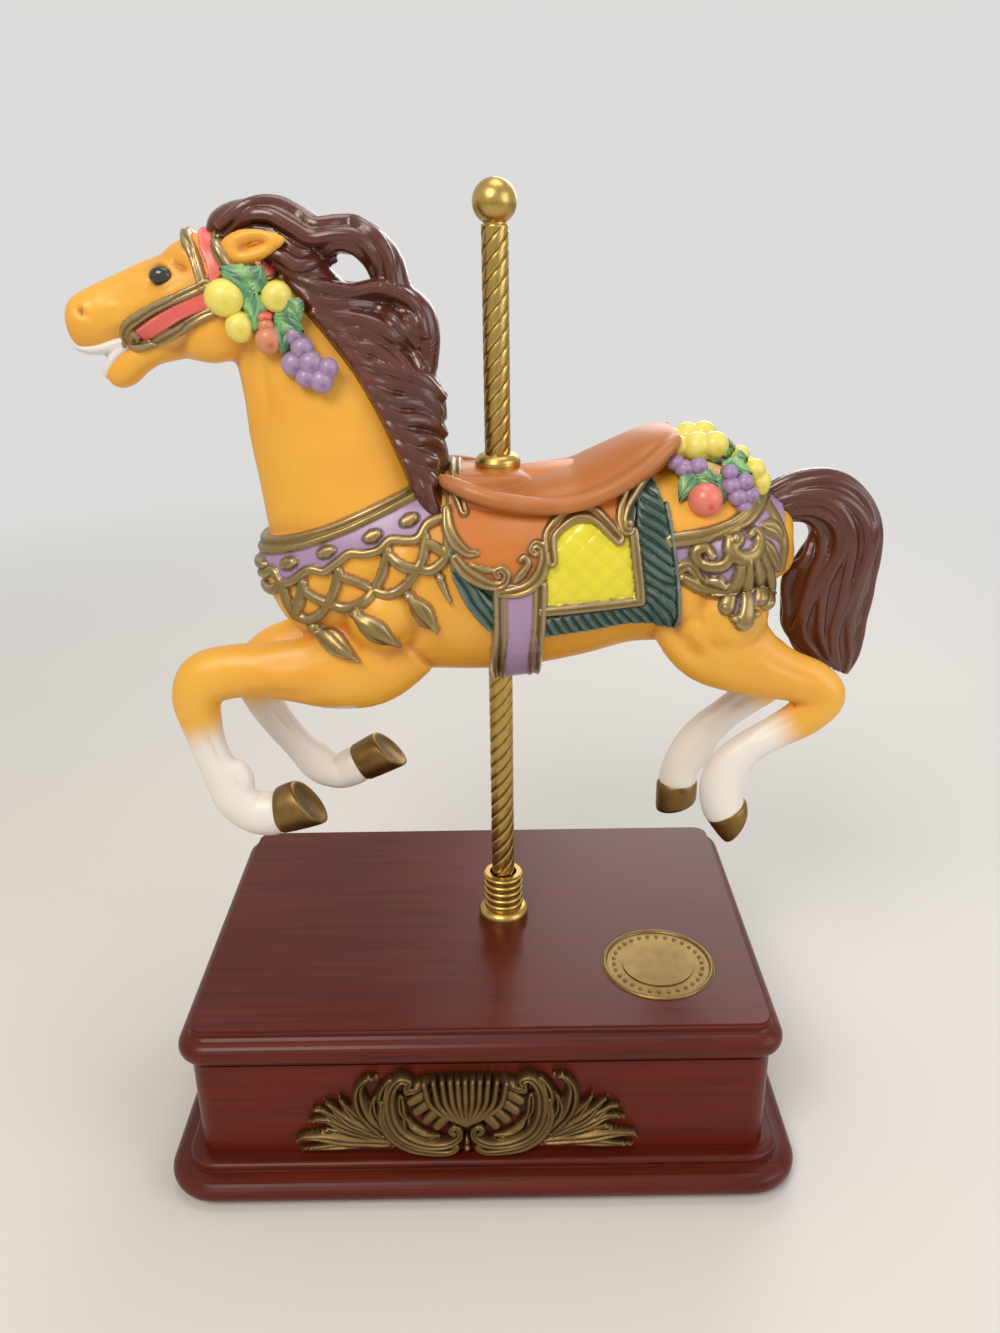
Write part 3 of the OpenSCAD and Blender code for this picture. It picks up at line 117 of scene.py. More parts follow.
# ---- curves, lofts and castings

THINNEST = 0.15  # least half depth or half width of a loft's ring


def on_side(spot: Point, side: int) -> tuple[float, float, float]:
    """Gives a place of the near side on the side asked for."""
    return (spot[0], -side * spot[1], spot[2])


def spline(points: Rows, per: int = 6) -> Array:
    """Draws a Catmull-Rom curve through rows of numbers.

    Args:
        points: Rows to pass through; any columns after the place are carried along.
        per: Steps between two rows.

    Returns:
        The rows of the smooth curve.
    """
    rows = np.array(points, float)
    if len(rows) < 3:
        t = np.linspace(0, 1, per + 1)[:, None]
        return rows[0] + (rows[-1] - rows[0]) * t
    padded = np.vstack([2 * rows[0] - rows[1], rows, 2 * rows[-1] - rows[-2]])
    t = np.arange(per)[:, None] / per
    out = []
    for p, q, r, s in zip(padded, padded[1:], padded[2:], padded[3:]):
        out.append(0.5 * (2 * q + (r - p) * t + (2 * p - 5 * q + 4 * r - s) * t ** 2
                          + (3 * q - p - 3 * r + s) * t ** 3))
    return np.vstack([*out, rows[-1:]])


def join_rings(bm: Lump, rings: Sequence[Sequence[bmesh.types.BMVert]]) -> list[bmesh.types.BMFace]:
    """Closes the two end rings and bridges each ring to the next.

    Args:
        bm: Where the rings are.
        rings: The corners of each ring.

    Returns:
        The face that closes the last ring.
    """
    for ring in (rings[0], rings[-1]):
        cap = bmesh.ops.contextual_create(bm, geom=list({e for v in ring for e in v.link_edges}))["faces"]
    for one, two in zip(rings, rings[1:]):
        rim = {e for ring in (one, two) for v in ring for e in v.link_edges if e.other_vert(v) in ring}
        bmesh.ops.bridge_loops(bm, edges=list(rim))
    bmesh.ops.recalc_face_normals(bm, faces=bm.faces)
    return cap


def loft(rows: Array, sides: int = 24, power: float = 2.0) -> Lump:
    """Lofts a closed body through stations.

    Args:
        rows: Rows of x, y, z, half depth and half width.
        sides: Corners of each ring.
        power: Exponent of the section: 2 is an ellipse and more is squarer.

    Returns:
        The closed body.
    """
    bm = bmesh.new()
    angles = np.arange(sides) * 2 * math.pi / sides
    cos, sin = np.cos(angles), np.sin(angles)
    across = (np.sign(cos) * np.abs(cos) ** (2 / power))[:, None]
    along = (np.sign(sin) * np.abs(sin) ** (2 / power))[:, None]
    places = rows[:, :3]
    rings = []
    for place, tangent, row in zip(places, np.gradient(places, axis=0), rows):
        tangent = tangent / (np.linalg.norm(tangent) + TINY)
        normal = np.cross([0, 1, 0], tangent)
        normal = normal / (np.linalg.norm(normal) + TINY)
        deep, wide = max(row[3], THINNEST), max(row[4], THINNEST)
        ring = place + across * deep * normal + along * wide * np.cross(tangent, normal)
        verts = bmesh.ops.create_circle(bm, cap_ends=False, radius=1, segments=sides)["verts"]
        for vert, spot in zip(verts, ring):
            vert.co = spot
        rings.append(verts)
    join_rings(bm, rings)
    return bm


def tube(points: Rows, radii: Sequence[float], sides: int = 12) -> Lump:
    """Sweeps a round section along a smooth path, with a radius at each of its points."""
    return loft(spline([(*p, r, r) for p, r in zip(points, radii)]), sides)


def ball(centre: Point, size: Point, segments: int = 24) -> Lump:
    """Makes an ellipsoid with the half sizes given."""
    bm = bmesh.new()
    place = Matrix.Translation(centre) @ Matrix.Diagonal((*size, 1.0))
    bmesh.ops.create_uvsphere(bm, u_segments=segments, v_segments=segments // 2, radius=1, matrix=place)
    return bm


def poured(bm: Lump, name: str) -> Mesh:
    """Empties a bmesh into a new mesh."""
    mesh = bpy.data.meshes.new(name)
    bm.to_mesh(mesh)
    bm.free()
    return mesh


def placed(name: str, data: bpy.types.ID) -> Piece:
    """Puts an object with this data in the scene."""
    piece = bpy.data.objects.new(name, data)
    bpy.context.scene.collection.objects.link(piece)
    return piece


def apply_modifiers(piece: Piece) -> None:
    """Bakes a piece's modifiers into its mesh."""
    graph = bpy.context.evaluated_depsgraph_get()
    mesh = bpy.data.meshes.new_from_object(piece.evaluated_get(graph))
    old = piece.data
    piece.modifiers.clear()
    piece.data = mesh
    bpy.data.meshes.remove(old)


class Casting:
    """Closed lumps that are pressed together and cast as one skin."""

    def __init__(self, *lumps: Lump) -> None:
        """Starts a mould with the lumps given."""
        self.bm = bmesh.new()
        self.press(*lumps)

    def press(self, *lumps: Lump) -> None:
        """Adds closed lumps to the mould."""
        for lump in lumps:
            mesh = poured(lump, "lump")
            self.bm.from_mesh(mesh)
            bpy.data.meshes.remove(mesh)

    def press_both(self, make: Callable[[int], Lump]) -> None:
        """Adds a lump on each side, which make gives when it is told the side."""
        for side in (NEAR, FAR):
            self.press(make(side))

    def plain(self, name: str) -> Piece:
        """Takes the lumps out as they are."""
        return placed(name, poured(self.bm, name))

    def cast(self, name: str, voxel: float, rounds: int, factor: float = 0.5) -> Piece:
        """Casts the lumps as one skin and softens the joints between them.

        Args:
            name: Name of the piece.
            voxel: Spacing of the skin's points.
            rounds: Rounds of smoothing.
            factor: Strength of a round.

        Returns:
            The piece, still in millimetres.
        """
        piece = self.plain(name)
        remesh = piece.modifiers.new("cast", "REMESH")
        remesh.mode = "VOXEL"
        remesh.voxel_size = voxel
        smooth = piece.modifiers.new("soften", "SMOOTH")
        smooth.factor = factor
        smooth.iterations = rounds
        apply_modifiers(piece)
        return piece


# ---- points of a mesh

def places(mesh: Mesh) -> Array:
    """Gives a mesh's points."""
    flat = np.empty(len(mesh.vertices) * 3, np.float32)
    mesh.vertices.foreach_get("co", flat)
    return flat.reshape(-1, 3).astype(float)


def normals(mesh: Mesh) -> Array:
    """Gives a mesh's point normals."""
    flat = np.empty(len(mesh.vertices) * 3, np.float32)
    mesh.vertex_normals.foreach_get("vector", flat)
    return flat.reshape(-1, 3).astype(float)


def move(mesh: Mesh, spots: Array) -> None:
    """Moves a mesh's points to new places."""
    mesh.vertices.foreach_set("co", spots.astype(np.float32).ravel())
    mesh.update()


def keep_number(mesh: Mesh, name: str, values: Array) -> None:
    """Stores one number for each point."""
    layer = mesh.attributes.get(name) or mesh.attributes.new(name, "FLOAT", "POINT")
    layer.data.foreach_set("value", values.astype(np.float32))


def keep_colour(mesh: Mesh, colours: Array) -> None:
    """Stores one linear colour of paint for each point."""
    layer = mesh.attributes.new("paint", "FLOAT_COLOR", "POINT")
    layer.data.foreach_set("color", colours.astype(np.float32).ravel())


def within(spots: Array, low: Point, high: Point) -> Array:
    """Gives the numbers of the spots that lie inside a box."""
    return np.flatnonzero(((spots > low) & (spots < high)).all(1))


def hollows(mesh: Mesh, reach: int, depth: float) -> Array:
    """Measures how deep each point lies among its neighbours.

    Args:
        mesh: The mesh, in millimetres.
        reach: Rounds of averaging, which set how wide a hollow may be.
        depth: Depth that counts as 1.

    Returns:
        From -1 on a sharp ridge to 1 in a deep groove.
    """
    spots = places(mesh)
    pairs = np.empty(len(mesh.edges) * 2, np.int32)
    mesh.edges.foreach_get("vertices", pairs)
    one, two = pairs.reshape(-1, 2).T
    count = np.bincount(one, minlength=len(spots)) + np.bincount(two, minlength=len(spots))
    mean = spots.copy()
    for _ in range(reach):
        total = np.zeros_like(mean)
        for axis in range(3):
            total[:, axis] = (np.bincount(one, mean[two, axis], len(spots))
                              + np.bincount(two, mean[one, axis], len(spots)))
        mean = total / np.maximum(count, 1)[:, None]
    return np.clip(((mean - spots) * normals(mesh)).sum(1) / depth, -1, 1)


def nearest(spots: Array, path: Array) -> tuple[Array, Array]:
    """Finds the nearest place on a path for each spot in side view.

    Args:
        spots: Rows of x and z.
        path: Rows of x and z along the path.

    Returns:
        The distance and the share of the way along the path.
    """
    step = path[1:] - path[:-1]
    size = (step ** 2).sum(1) + 1e-12
    rel = spots[:, None] - path[None, :-1]
    share = np.clip((rel * step).sum(2) / size, 0, 1)
    gap = rel - share[..., None] * step
    far = (gap ** 2).sum(2)
    best = far.argmin(1)
    row = np.arange(len(spots))
    lengths = np.sqrt(size)
    before = np.concatenate([[0], np.cumsum(lengths)])
    run = (before[best] + share[row, best] * lengths[best]) / before[-1]
    return np.sqrt(far[row, best]), run


def inside(spots: Array, outline: Array) -> Array:
    """Says which spots lie inside a closed outline in side view."""
    hit = np.zeros(len(spots), bool)
    x, z = spots.T
    for (x0, z0), (x1, z1) in zip(outline, np.roll(outline, -1, 0)):
        if z0 == z1:
            continue
        crosses = (z0 > z) != (z1 > z)
        hit ^= crosses & (x < (x1 - x0) * (z - z0) / (z1 - z0) + x0)
    return hit


# ---- relief features

NOTHING = -99.0  # the height that a feature gives where it isn't


@dataclass
class Feature:
    """Something raised on a surface and painted, drawn in side view."""

    colour: Paint
    height: float
    gilt: float = 0.0
    # How much painted shade darkens its hollows.
    wash: float = 1.0

    def __post_init__(self) -> None:
        """Draws the line it is measured from, and how far it spreads from there, once."""
        self.line, self.spread = self.drawn()

    def drawn(self) -> tuple[Array, float]:
        """Gives the line it is measured from and how far it spreads from there."""
        raise NotImplementedError

    def rise(self, spots: Array) -> Array:
        """Gives its height over each spot, or NOTHING where it isn't."""
        raise NotImplementedError

    def threads(self, spots: Array) -> Array | float:
        """Gives the distance across fine threads, counted in threads, or 0 where there are none."""
        return 0.0


@dataclass
class Ribbon(Feature):
    """A rounded strip along a path; its half width may change along it."""

    path: Rows = ()
    width: Sequence[float] = (1.0,)
    groove: float = 0.0

    def drawn(self) -> tuple[Array, float]:
        """Gives the smooth path and the greatest half width."""
        return spline(self.path), max(self.width)

    def rise(self, spots: Array) -> Array:
        """Gives a round profile, with a groove along its middle if it has one."""
        far, run = nearest(spots, self.line)
        wide = np.interp(run, np.linspace(0, 1, len(self.width)), self.width)
        share = np.clip(far / wide, 0, 1)
        top = self.height * np.sqrt(1 - share ** 3) * (1 - self.groove * np.exp(-(share / 0.3) ** 2))
        return np.where(far < wide, top, NOTHING)


@dataclass
class Plate(Feature):
    """A flat patch with soft edges; a pattern may be pressed into it."""

    outline: Rows = ()
    edge: float = 0.8
    pattern: Cords | Quilting | None = None

    def drawn(self) -> tuple[Array, float]:
        """Gives the closed outline and the width of its soft edge."""
        return np.array([*self.outline, self.outline[0]], float), self.edge

    def threads(self, spots: Array) -> Array | float:
        """Gives the distance across its cords' threads, if it has cords."""
        return self.pattern.lines(spots) if isinstance(self.pattern, Cords) else 0.0

    def rise(self, spots: Array) -> Array:
        """Gives the patch's height, rounded over at its edge."""
        far, _ = nearest(spots, self.line)
        share = np.clip(far / self.edge, 0, 1)
        top = self.height * np.sqrt(1 - (1 - share) ** 2)
        if self.pattern:
            top = top + self.pattern.press(spots) * share
        return np.where(inside(spots, self.line), top, NOTHING)


@dataclass
class Leaf(Feature):
    """A leaf along a bent path, with a midrib, veins and lobes."""

    path: Rows = ()
    width: float = 4.0
    lobes: int = 0
    veins: int = 0
    root: float = 0.35
    fold: float = 0.45

    def drawn(self) -> tuple[Array, float]:
        """Gives the smooth path and the half width."""
        return spline(self.path), self.width

    def rise(self, spots: Array) -> Array:
        """Gives a domed leaf that swells past its root, is folded along its midrib and ends in a point."""
        far, run = nearest(spots, self.line)
        swell = self.root * (1 - run) + (1 - self.root) * np.sin(math.pi * np.clip(run, 0, 1) ** 0.8)
        wide = self.width * swell * np.clip((1 - run) * 7, 0, 1) ** 0.6
        if self.lobes:
            wide = wide * (0.8 + 0.2 * np.abs(np.cos(run * self.lobes * math.pi)))
        wide = np.maximum(wide, 1e-3)
        share = np.clip(far / wide, 0, 1)
        top = np.sqrt(1 - share ** 2) * (1 - self.fold * np.exp(-(share / 0.16) ** 2))
        if self.veins:
            vein = 0.5 + 0.5 * np.cos((run * self.veins - share * 1.4) * 2 * math.pi)
            top = top * (1 - 0.16 * vein * share)
        return np.where(far < wide, self.height * top * (0.72 + 0.28 * np.sin(math.pi * run)), NOTHING)


@dataclass
class Bead(Feature):
    """A domed oval."""

    centre: Point = (0.0, 0.0)
    size: Point = (1.0, 1.0)

    def drawn(self) -> tuple[Array, float]:
        """Gives the centre and the greater half size."""
        return np.array([self.centre], float), max(self.size)

    def rise(self, spots: Array) -> Array:
        """Gives the dome's height."""
        x, z = (spots - self.centre).T
        share = (x / self.size[0]) ** 2 + (z / self.size[1]) ** 2
        return np.where(share < 1, self.height * np.sqrt(np.clip(1 - share, 0, 1)), NOTHING)


@dataclass(frozen=True)
class Cords:
    """Wavy cords side by side whose slant changes round a corner of the blanket."""

    pitch: float = 2.7
    depth: float = 1.35
    thread: float = 0.75
    corner: Point = (52.0, 186.0)
    slants: Point = (34.0, 59.0)

    def across(self, spots: Array) -> Array:
        """Gives the distance across the cords at each spot."""
        x, z = (spots - self.corner).T
        turned = np.clip((z + 3) / 12, 0, 1) * np.clip((x + 10) / 8, 0, 1)
        slant = np.radians(self.slants[0] + (self.slants[1] - self.slants[0]) * turned)
        along = z * np.cos(slant) - x * np.sin(slant)
        return x * np.cos(slant) + z * np.sin(slant) + 0.34 * np.sin(along * 0.42 + x * 0.1)

    def press(self, spots: Array) -> Array:
        """Gives the depth of the gaps between the cords."""
        ridge = np.abs(np.sin(math.pi * self.across(spots) / self.pitch))
        return self.depth * (ridge ** 0.5 - 1)

    def lines(self, spots: Array) -> Array:
        """Gives the distance across the fine threads of each cord, counted in threads."""
        return self.across(spots) / self.thread


@dataclass(frozen=True)
class Quilting:
    """A diamond quilt of puffed squares."""

    pitch: float = 4.7
    depth: float = 0.42

    def press(self, spots: Array) -> Array:
        """Gives the depth of the seams and the puff between them."""
        one = (spots[:, 0] + 1.06 * spots[:, 1]) / (self.pitch * 1.414)
        two = (spots[:, 0] - 1.06 * spots[:, 1]) / (self.pitch * 1.414)
        puff = np.abs(np.sin(math.pi * one) * np.sin(math.pi * two))
        return self.depth * (puff ** 0.4 - 1)


@dataclass
class Relief:
    """What a stack of features gives each spot."""

    height: Array
    colour: Array
    gilt: Array
    wash: Array
    threads: Array

    def keep(self, mesh: Mesh) -> None:
        """Stores the paint, the gilding, the painted shade of the hollows, the threads and the height on a
        mesh.
        """
        keep_colour(mesh, self.colour)
        for name in ("gilt", "wash", "threads", "height"):
            keep_number(mesh, name, getattr(self, name))


def raise_features(spots: Array, features: Sequence[Feature], sunk: float, ground: Paint) -> Relief:
    """Stacks features on a surface; at each spot the highest one shows.

    Args:
        spots: Rows of x and z.
        features: What is raised.
        sunk: How far bare spots sink below the surface.
        ground: Colour of bare spots.

    Returns:
        The relief over the spots.
    """
    count = len(spots)
    relief = Relief(np.full(count, -sunk), np.tile(linear(ground.value), (count, 1)), np.zeros(count),
                    np.ones(count), np.zeros(count))
    for feature in features:
        near = within(spots, feature.line.min(0) - feature.spread, feature.line.max(0) + feature.spread)
        if not len(near):
            continue
        rise = feature.rise(spots[near])
        wins = rise > relief.height[near]
        won = near[wins]
        relief.height[won] = rise[wins]
        relief.colour[won] = linear(feature.colour.value)
        relief.gilt[won] = feature.gilt
        relief.wash[won] = feature.wash
        relief.threads[won] = feature.threads(spots[won])
    return relief


@dataclass
class Stroke:
    """A modelling tool's stroke on the casting, drawn in side view; a side of 0 means both."""

    path: Rows
    radius: float
    depth: float
    side: int = 0

    def press(self, spots: Array, out: Array) -> Array:
        """Gives how far the stroke moves each point outwards.

        Args:
            spots: The casting's points.
            out: Their normals.

        Returns:
            The moves, which fade out with the distance and towards the ends of a long stroke.
        """
        line = spline(self.path, 5)
        reach = 2.2 * self.radius
        flat = spots[:, [0, 2]]
        found = within(flat, line.min(0) - reach, line.max(0) + reach)
        if self.side:
            found = found[spots[found, 1] * self.side > 2]
        push = np.zeros(len(spots))
        if len(found):
            far, run = nearest(flat[found], line)
            push[found] = self.depth * np.exp(-(far / self.radius) ** 2) * np.abs(out[found, 1]) ** 0.6
            if np.linalg.norm(line[-1] - line[0]) > 3 * self.radius:
                push[found] *= np.sin(math.pi * run) ** 0.7
        return push


# ---- materials

NOISE = (0.3, 0.7)  # between these lie nearly all values of a noise
GLAZE_IOR = 1.5
LACQUER_IOR = 1.45


class Kind(Enum):
    """Kinds of node: type name, settings, sockets in the order they are filled, and the output used."""

    PLACE = ("ShaderNodeTexCoord", {}, (), "Object")
    STRETCH = ("ShaderNodeMapping", {}, ("Vector", "Scale"), "Vector")
    CLOUDS = ("ShaderNodeTexNoise", {}, ("Vector", "Scale", "Detail", "Roughness"), "Fac")
    KEPT = ("ShaderNodeAttribute", {}, (), "Fac")
    PAINT = ("ShaderNodeAttribute", {"attribute_name": "paint"}, (), "Color")
    SPAN = ("ShaderNodeMapRange", {}, ("Value", "From Min", "From Max", "To Min", "To Max"), "Result")
    GREY = ("ShaderNodeCombineColor", {}, ("Red", "Green", "Blue"), "Color")
    COVER = ("ShaderNodeMix", {"data_type": "RGBA", "blend_type": "MIX"}, (0, 6, 7), 2)
    TINT = ("ShaderNodeMix", {"data_type": "RGBA", "blend_type": "MULTIPLY"}, (0, 6, 7), 2)
    TIMES = ("ShaderNodeMath", {"operation": "MULTIPLY"}, (0, 1), 0)
    GREATER = ("ShaderNodeMath", {"operation": "MAXIMUM"}, (0, 1), 0)
    SINE = ("ShaderNodeMath", {"operation": "SINE"}, (0,), 0)
    LENGTH = ("ShaderNodeVectorMath", {"operation": "LENGTH"}, (0,), "Value")
    BUMP = ("ShaderNodeBump", {}, ("Height", "Distance", "Normal"), "Normal")
    SURFACE = ("ShaderNodeBsdfPrincipled", {}, ("Base Color", "Roughness", "Normal", "Metallic"), "BSDF")
    GLOW = ("ShaderNodeEmission", {}, ("Color", "Strength"), "Emission")
    BLEND = ("ShaderNodeMixShader", {}, (0, 1, 2), "Shader")
    RAY = ("ShaderNodeLightPath", {}, (), "Is Camera Ray")
    SKY = ("ShaderNodeBackground", {}, ("Color", "Strength"), "Background")
    OUTPUT = ("ShaderNodeOutputMaterial", {}, ("Surface",), "")
    WORLD = ("ShaderNodeOutputWorld", {}, ("Surface",), "")


def add(tree: Tree, kind: Kind, *values: object, more: dict | None = None, **settings: object) -> tuple:
    """Adds a node with its settings and links.

    Args:
        tree: The node tree.
        kind: The kind of node.
        values: For each of the kind's sockets, in order, a value or a (node, output) pair.
        more: Further sockets by name, with their values.
        settings: Further properties of the node.

    Returns:
        The node and its output.
    """
    type_name, usual, sockets, output = kind.value
    node = tree.nodes.new(type_name)
    for key, value in {**usual, **settings}.items():
        setattr(node, key, value)
    for key, value in [*zip(sockets, values), *(more or {}).items()]:
        if isinstance(value, tuple) and isinstance(value[0], bpy.types.Node):
            tree.links.new(value[0].outputs[value[1]], node.inputs[key])
        else:
            node.inputs[key].default_value = value
    return node, output


def patches(tree: Tree, size_mm: float, detail: float, stretch: Point = (1, 1, 1)) -> tuple:
    """Spreads soft patches about size_mm across over a piece, stretched along the axes given."""
    turned = add(tree, Kind.STRETCH, add(tree, Kind.PLACE), tuple(stretch))
    return add(tree, Kind.CLOUDS, turned, 1 / (size_mm * METRES), detail, 0.55)


def threads(tree: Tree) -> tuple:
    """Draws fine threads, from -1 between two to 1 on each, by the number kept on the mesh."""
    turn = add(tree, Kind.TIMES, add(tree, Kind.KEPT, attribute_name="threads"), 2 * math.pi)
    return add(tree, Kind.SINE, turn)


def laid(tree: Tree, body: tuple, colour: str, pattern: tuple, low: float, high: float,
         amount: float) -> tuple:
    """Lays a colour over a body where a pattern says so.

    Args:
        tree: The material's node tree.
        body: What is painted over.
        colour: The sRGB hex colour.
        pattern: The pattern's node and output.
        low: The pattern's value up to which nothing is laid.
        high: The value from which the whole amount is laid.
        amount: How much of the body is covered at most.

    Returns:
        The painted body.
    """
    return add(tree, Kind.COVER, add(tree, Kind.SPAN, pattern, low, high, 0.0, amount), body, linear(colour))


@dataclass(frozen=True)
class Finish:
    """A finish, by the name of its material."""

    name: str

    def surface(self, tree: Tree) -> tuple:
        """Gives the shader."""
        raise NotImplementedError

    def material(self) -> bpy.types.Material:
        """Makes the material."""
        material = bpy.data.materials.new(self.name)
        material.use_nodes = True
        material.node_tree.nodes.clear()
        add(material.node_tree, Kind.OUTPUT, self.surface(material.node_tree))
        return material


@dataclass(frozen=True)
class Porcelain(Finish):
    """Painted porcelain: satin bisque, or glossy where the glaze is thick."""

    colour: Paint
    shade: str
    roughness: float
    coat: float = 0.0
    mottle: float = 0.06
    speckle_mm: float = 0.004
    painted: bool = False
    gilded: bool = False
    # The most painted shade that darkens the hollows towards the shade colour.
    wash: float = 0.75
    # Colour of the painted highlight on ridges, and the most of it that is laid.
    edge: str = "FFF4DE"
    ridge_highlight: float = 0.16
    thread_mm: float = 0.0
    # Colour of the painted highlight along each thread.
    thread_highlight: str = ""

    def body(self, tree: Tree) -> tuple:
        """Brushed paint with slow tone changes, painted shade in its hollows and painted highlights on its
        ridges.
        """
        base = add(tree, Kind.PAINT) if self.painted else linear(self.colour.value)
        tone = add(tree, Kind.SPAN, patches(tree, 22, 2), *NOISE, 1 - self.mottle, 1 + self.mottle)
        body = add(tree, Kind.TINT, 1.0, base, add(tree, Kind.GREY, tone, tone, tone))
        # Painted highlight along the middle of each thread.
        if self.thread_highlight:
            body = laid(tree, body, self.thread_highlight, threads(tree), 0.35, 1.0, 0.4)
        hollow = add(tree, Kind.KEPT, attribute_name="hollow")
        # Painted shade: the hollows darken towards the shade colour, scaled per feature on gilded pieces.
        painted_shade = add(tree, Kind.SPAN, hollow, 0.06, 0.8, 0.0, self.wash)
        if self.gilded:
            painted_shade = add(tree, Kind.TIMES, painted_shade, add(tree, Kind.KEPT, attribute_name="wash"))
        body = add(tree, Kind.COVER, painted_shade, body, linear(self.shade))
        # Painted highlight: the ridges lighten towards the edge colour.
        return add(tree, Kind.COVER, add(tree, Kind.SPAN, hollow, -0.9, -0.15, self.ridge_highlight, 0.0), body,
                   linear(self.edge))

    def surface(self, tree: Tree) -> tuple:
        """The body colour under a fine grain of bisque, with gilding where the mesh says so."""
        relief = add(tree, Kind.BUMP, patches(tree, 0.7, 4), self.speckle_mm * METRES)
        if self.thread_mm:
            relief = add(tree, Kind.BUMP, threads(tree), self.thread_mm * METRES, relief)
        if self.gilded:
            gilt = add(tree, Kind.KEPT, attribute_name="gilt")
            metallic: object = add(tree, Kind.SPAN, gilt, 0, 1, 0.0, 0.72)
            rough = add(tree, Kind.SPAN, gilt, 0, 1, self.roughness, 0.34)
        else:
            metallic = 0.0
            rough = add(tree, Kind.SPAN, patches(tree, 6, 3), *NOISE, self.roughness - 0.05,
                        self.roughness + 0.05)
        return add(tree, Kind.SURFACE, self.body(tree), rough, relief, metallic,
                   more={"IOR": GLAZE_IOR, "Coat Weight": self.coat, "Coat Roughness": 0.12})


@dataclass(frozen=True)
class Coat(Finish):
    """The horse's coat: airbrushed bisque that fades to white stockings."""

    def surface(self, tree: Tree) -> tuple:
        """Warm yellow with painted orange shade in its hollows, partly the airbrush's own orange, and white
        with painted brown shade where a stocking fades in.
        """
        hollow = add(tree, Kind.KEPT, attribute_name="hollow")
        body = laid(tree, linear(Paint.COAT.value), Paint.COAT_SHADE.value, patches(tree, 30, 2),
                    0.35, 0.7, 0.35)
        # Painted shade: deeper orange in the hollows, partly the airbrush's own orange.
        body = laid(tree, body, "C8701C", hollow, 0.02, 0.7, 0.85)
        # Painted shade: grey-brown in the stockings' hollows.
        white = laid(tree, linear(Paint.STOCKING.value), "A8783C", hollow, 0.1, 0.8, 0.7)
        body = add(tree, Kind.COVER, add(tree, Kind.KEPT, attribute_name="stocking"), body, white)
        body = add(tree, Kind.COVER, add(tree, Kind.KEPT, attribute_name="dark"), body, linear("5A3413"))
        rough = add(tree, Kind.SPAN, patches(tree, 9, 3), *NOISE, 0.36, 0.46)
        grain = add(tree, Kind.BUMP, patches(tree, 0.6, 4), 0.004 * METRES)
        return add(tree, Kind.SURFACE, body, rough, grain,
                   more={"IOR": GLAZE_IOR, "Coat Weight": 0.12, "Coat Roughness": 0.3})


@dataclass(frozen=True)
class Lacquer(Finish):
    """Cherry under a satin lacquer: a fine straight grain that stays dark red."""

    light: str
    dark: str
    grain: Point
    roughness: float = 0.3

    def surface(self, tree: Tree) -> tuple:
        """Streaks of grain, a slow figure and short pores below a smooth clear coat."""
        streaks = patches(tree, 2.6, 5, self.grain)
        figure = patches(tree, 34, 2, [0.25 + 0.75 * g for g in self.grain])
        pores = patches(tree, 0.9, 2, [g * 0.5 + 0.02 for g in self.grain])
        body = laid(tree, linear(self.dark), self.light, streaks, *NOISE, 1)
        body = laid(tree, body, self.dark, figure, 0.35, 0.65, 0.45)
        body = laid(tree, body, "2A0D08", pores, 0.62, 0.72, 0.35)
        rough = add(tree, Kind.SPAN, streaks, *NOISE, self.roughness, self.roughness + 0.08)
        return add(tree, Kind.SURFACE, body, rough, add(tree, Kind.BUMP, streaks, 0.012 * METRES),
                   more={"IOR": LACQUER_IOR, "Specular IOR Level": 0.25, "Coat Weight": 0.08,
                         "Coat Roughness": 0.2})


@dataclass(frozen=True)
class Metal(Finish):
    """Turned, struck or cast metal with fine scratches and a tarnish that gathers in hollows."""

    colour: str
    tarnish: str
    roughness: float
    scratch: Point = (1, 1, 1)
    aged: float = 0.3
    cast_mm: float = 0.003

    def surface(self, tree: Tree) -> tuple:
        """Metal whose tarnish follows slow patches and hollows, with a scratch along one axis."""
        hollow = add(tree, Kind.KEPT, attribute_name="hollow")
        body = laid(tree, linear(self.colour), self.tarnish, patches(tree, 7, 4), 0.4, 0.75, self.aged)
        body = laid(tree, body, self.tarnish, hollow, 0.04, 0.6, 0.92)
        lines = patches(tree, 0.5, 3, self.scratch)
        rough = add(tree, Kind.SPAN, lines, 0.25, 0.75, self.roughness - 0.06, self.roughness + 0.08)
        return add(tree, Kind.SURFACE, body, rough, add(tree, Kind.BUMP, lines, self.cast_mm * METRES), 1.0)


@dataclass(frozen=True)
class Stock(Finish):
    """Plain stock such as rubber, moulded plastic or bare board."""

    colour: str
    second: str
    roughness: float
    patch_mm: float
    grain: Point = (1, 1, 1)

    def surface(self, tree: Tree) -> tuple:
        """Two close tones in patches, with a matching fine texture."""
        blots = patches(tree, self.patch_mm, 4, self.grain)
        body = laid(tree, linear(self.colour), self.second, blots, *NOISE, 1)
        return add(tree, Kind.SURFACE, body, self.roughness, add(tree, Kind.BUMP, blots, 0.01 * METRES),
                   more={"IOR": GLAZE_IOR})


@dataclass(frozen=True)
class FloorPaint(Finish):
    """Matt off-white that turns into the backdrop's tone far away, where only the camera sees it."""

    backdrop: str
    seen: float

    def surface(self, tree: Tree) -> tuple:
        """Fades from the matt paint to a glow as bright as the room."""
        far = add(tree, Kind.LENGTH, add(tree, Kind.PLACE))
        share = add(tree, Kind.TIMES, add(tree, Kind.SPAN, far, 0.32, 1.0, 0.0, 1.0), add(tree, Kind.RAY))
        matt = add(tree, Kind.SURFACE, linear("E4E1DC"), 0.7)
        return add(tree, Kind.BLEND, share, matt, add(tree, Kind.GLOW, linear(self.backdrop), self.seen))


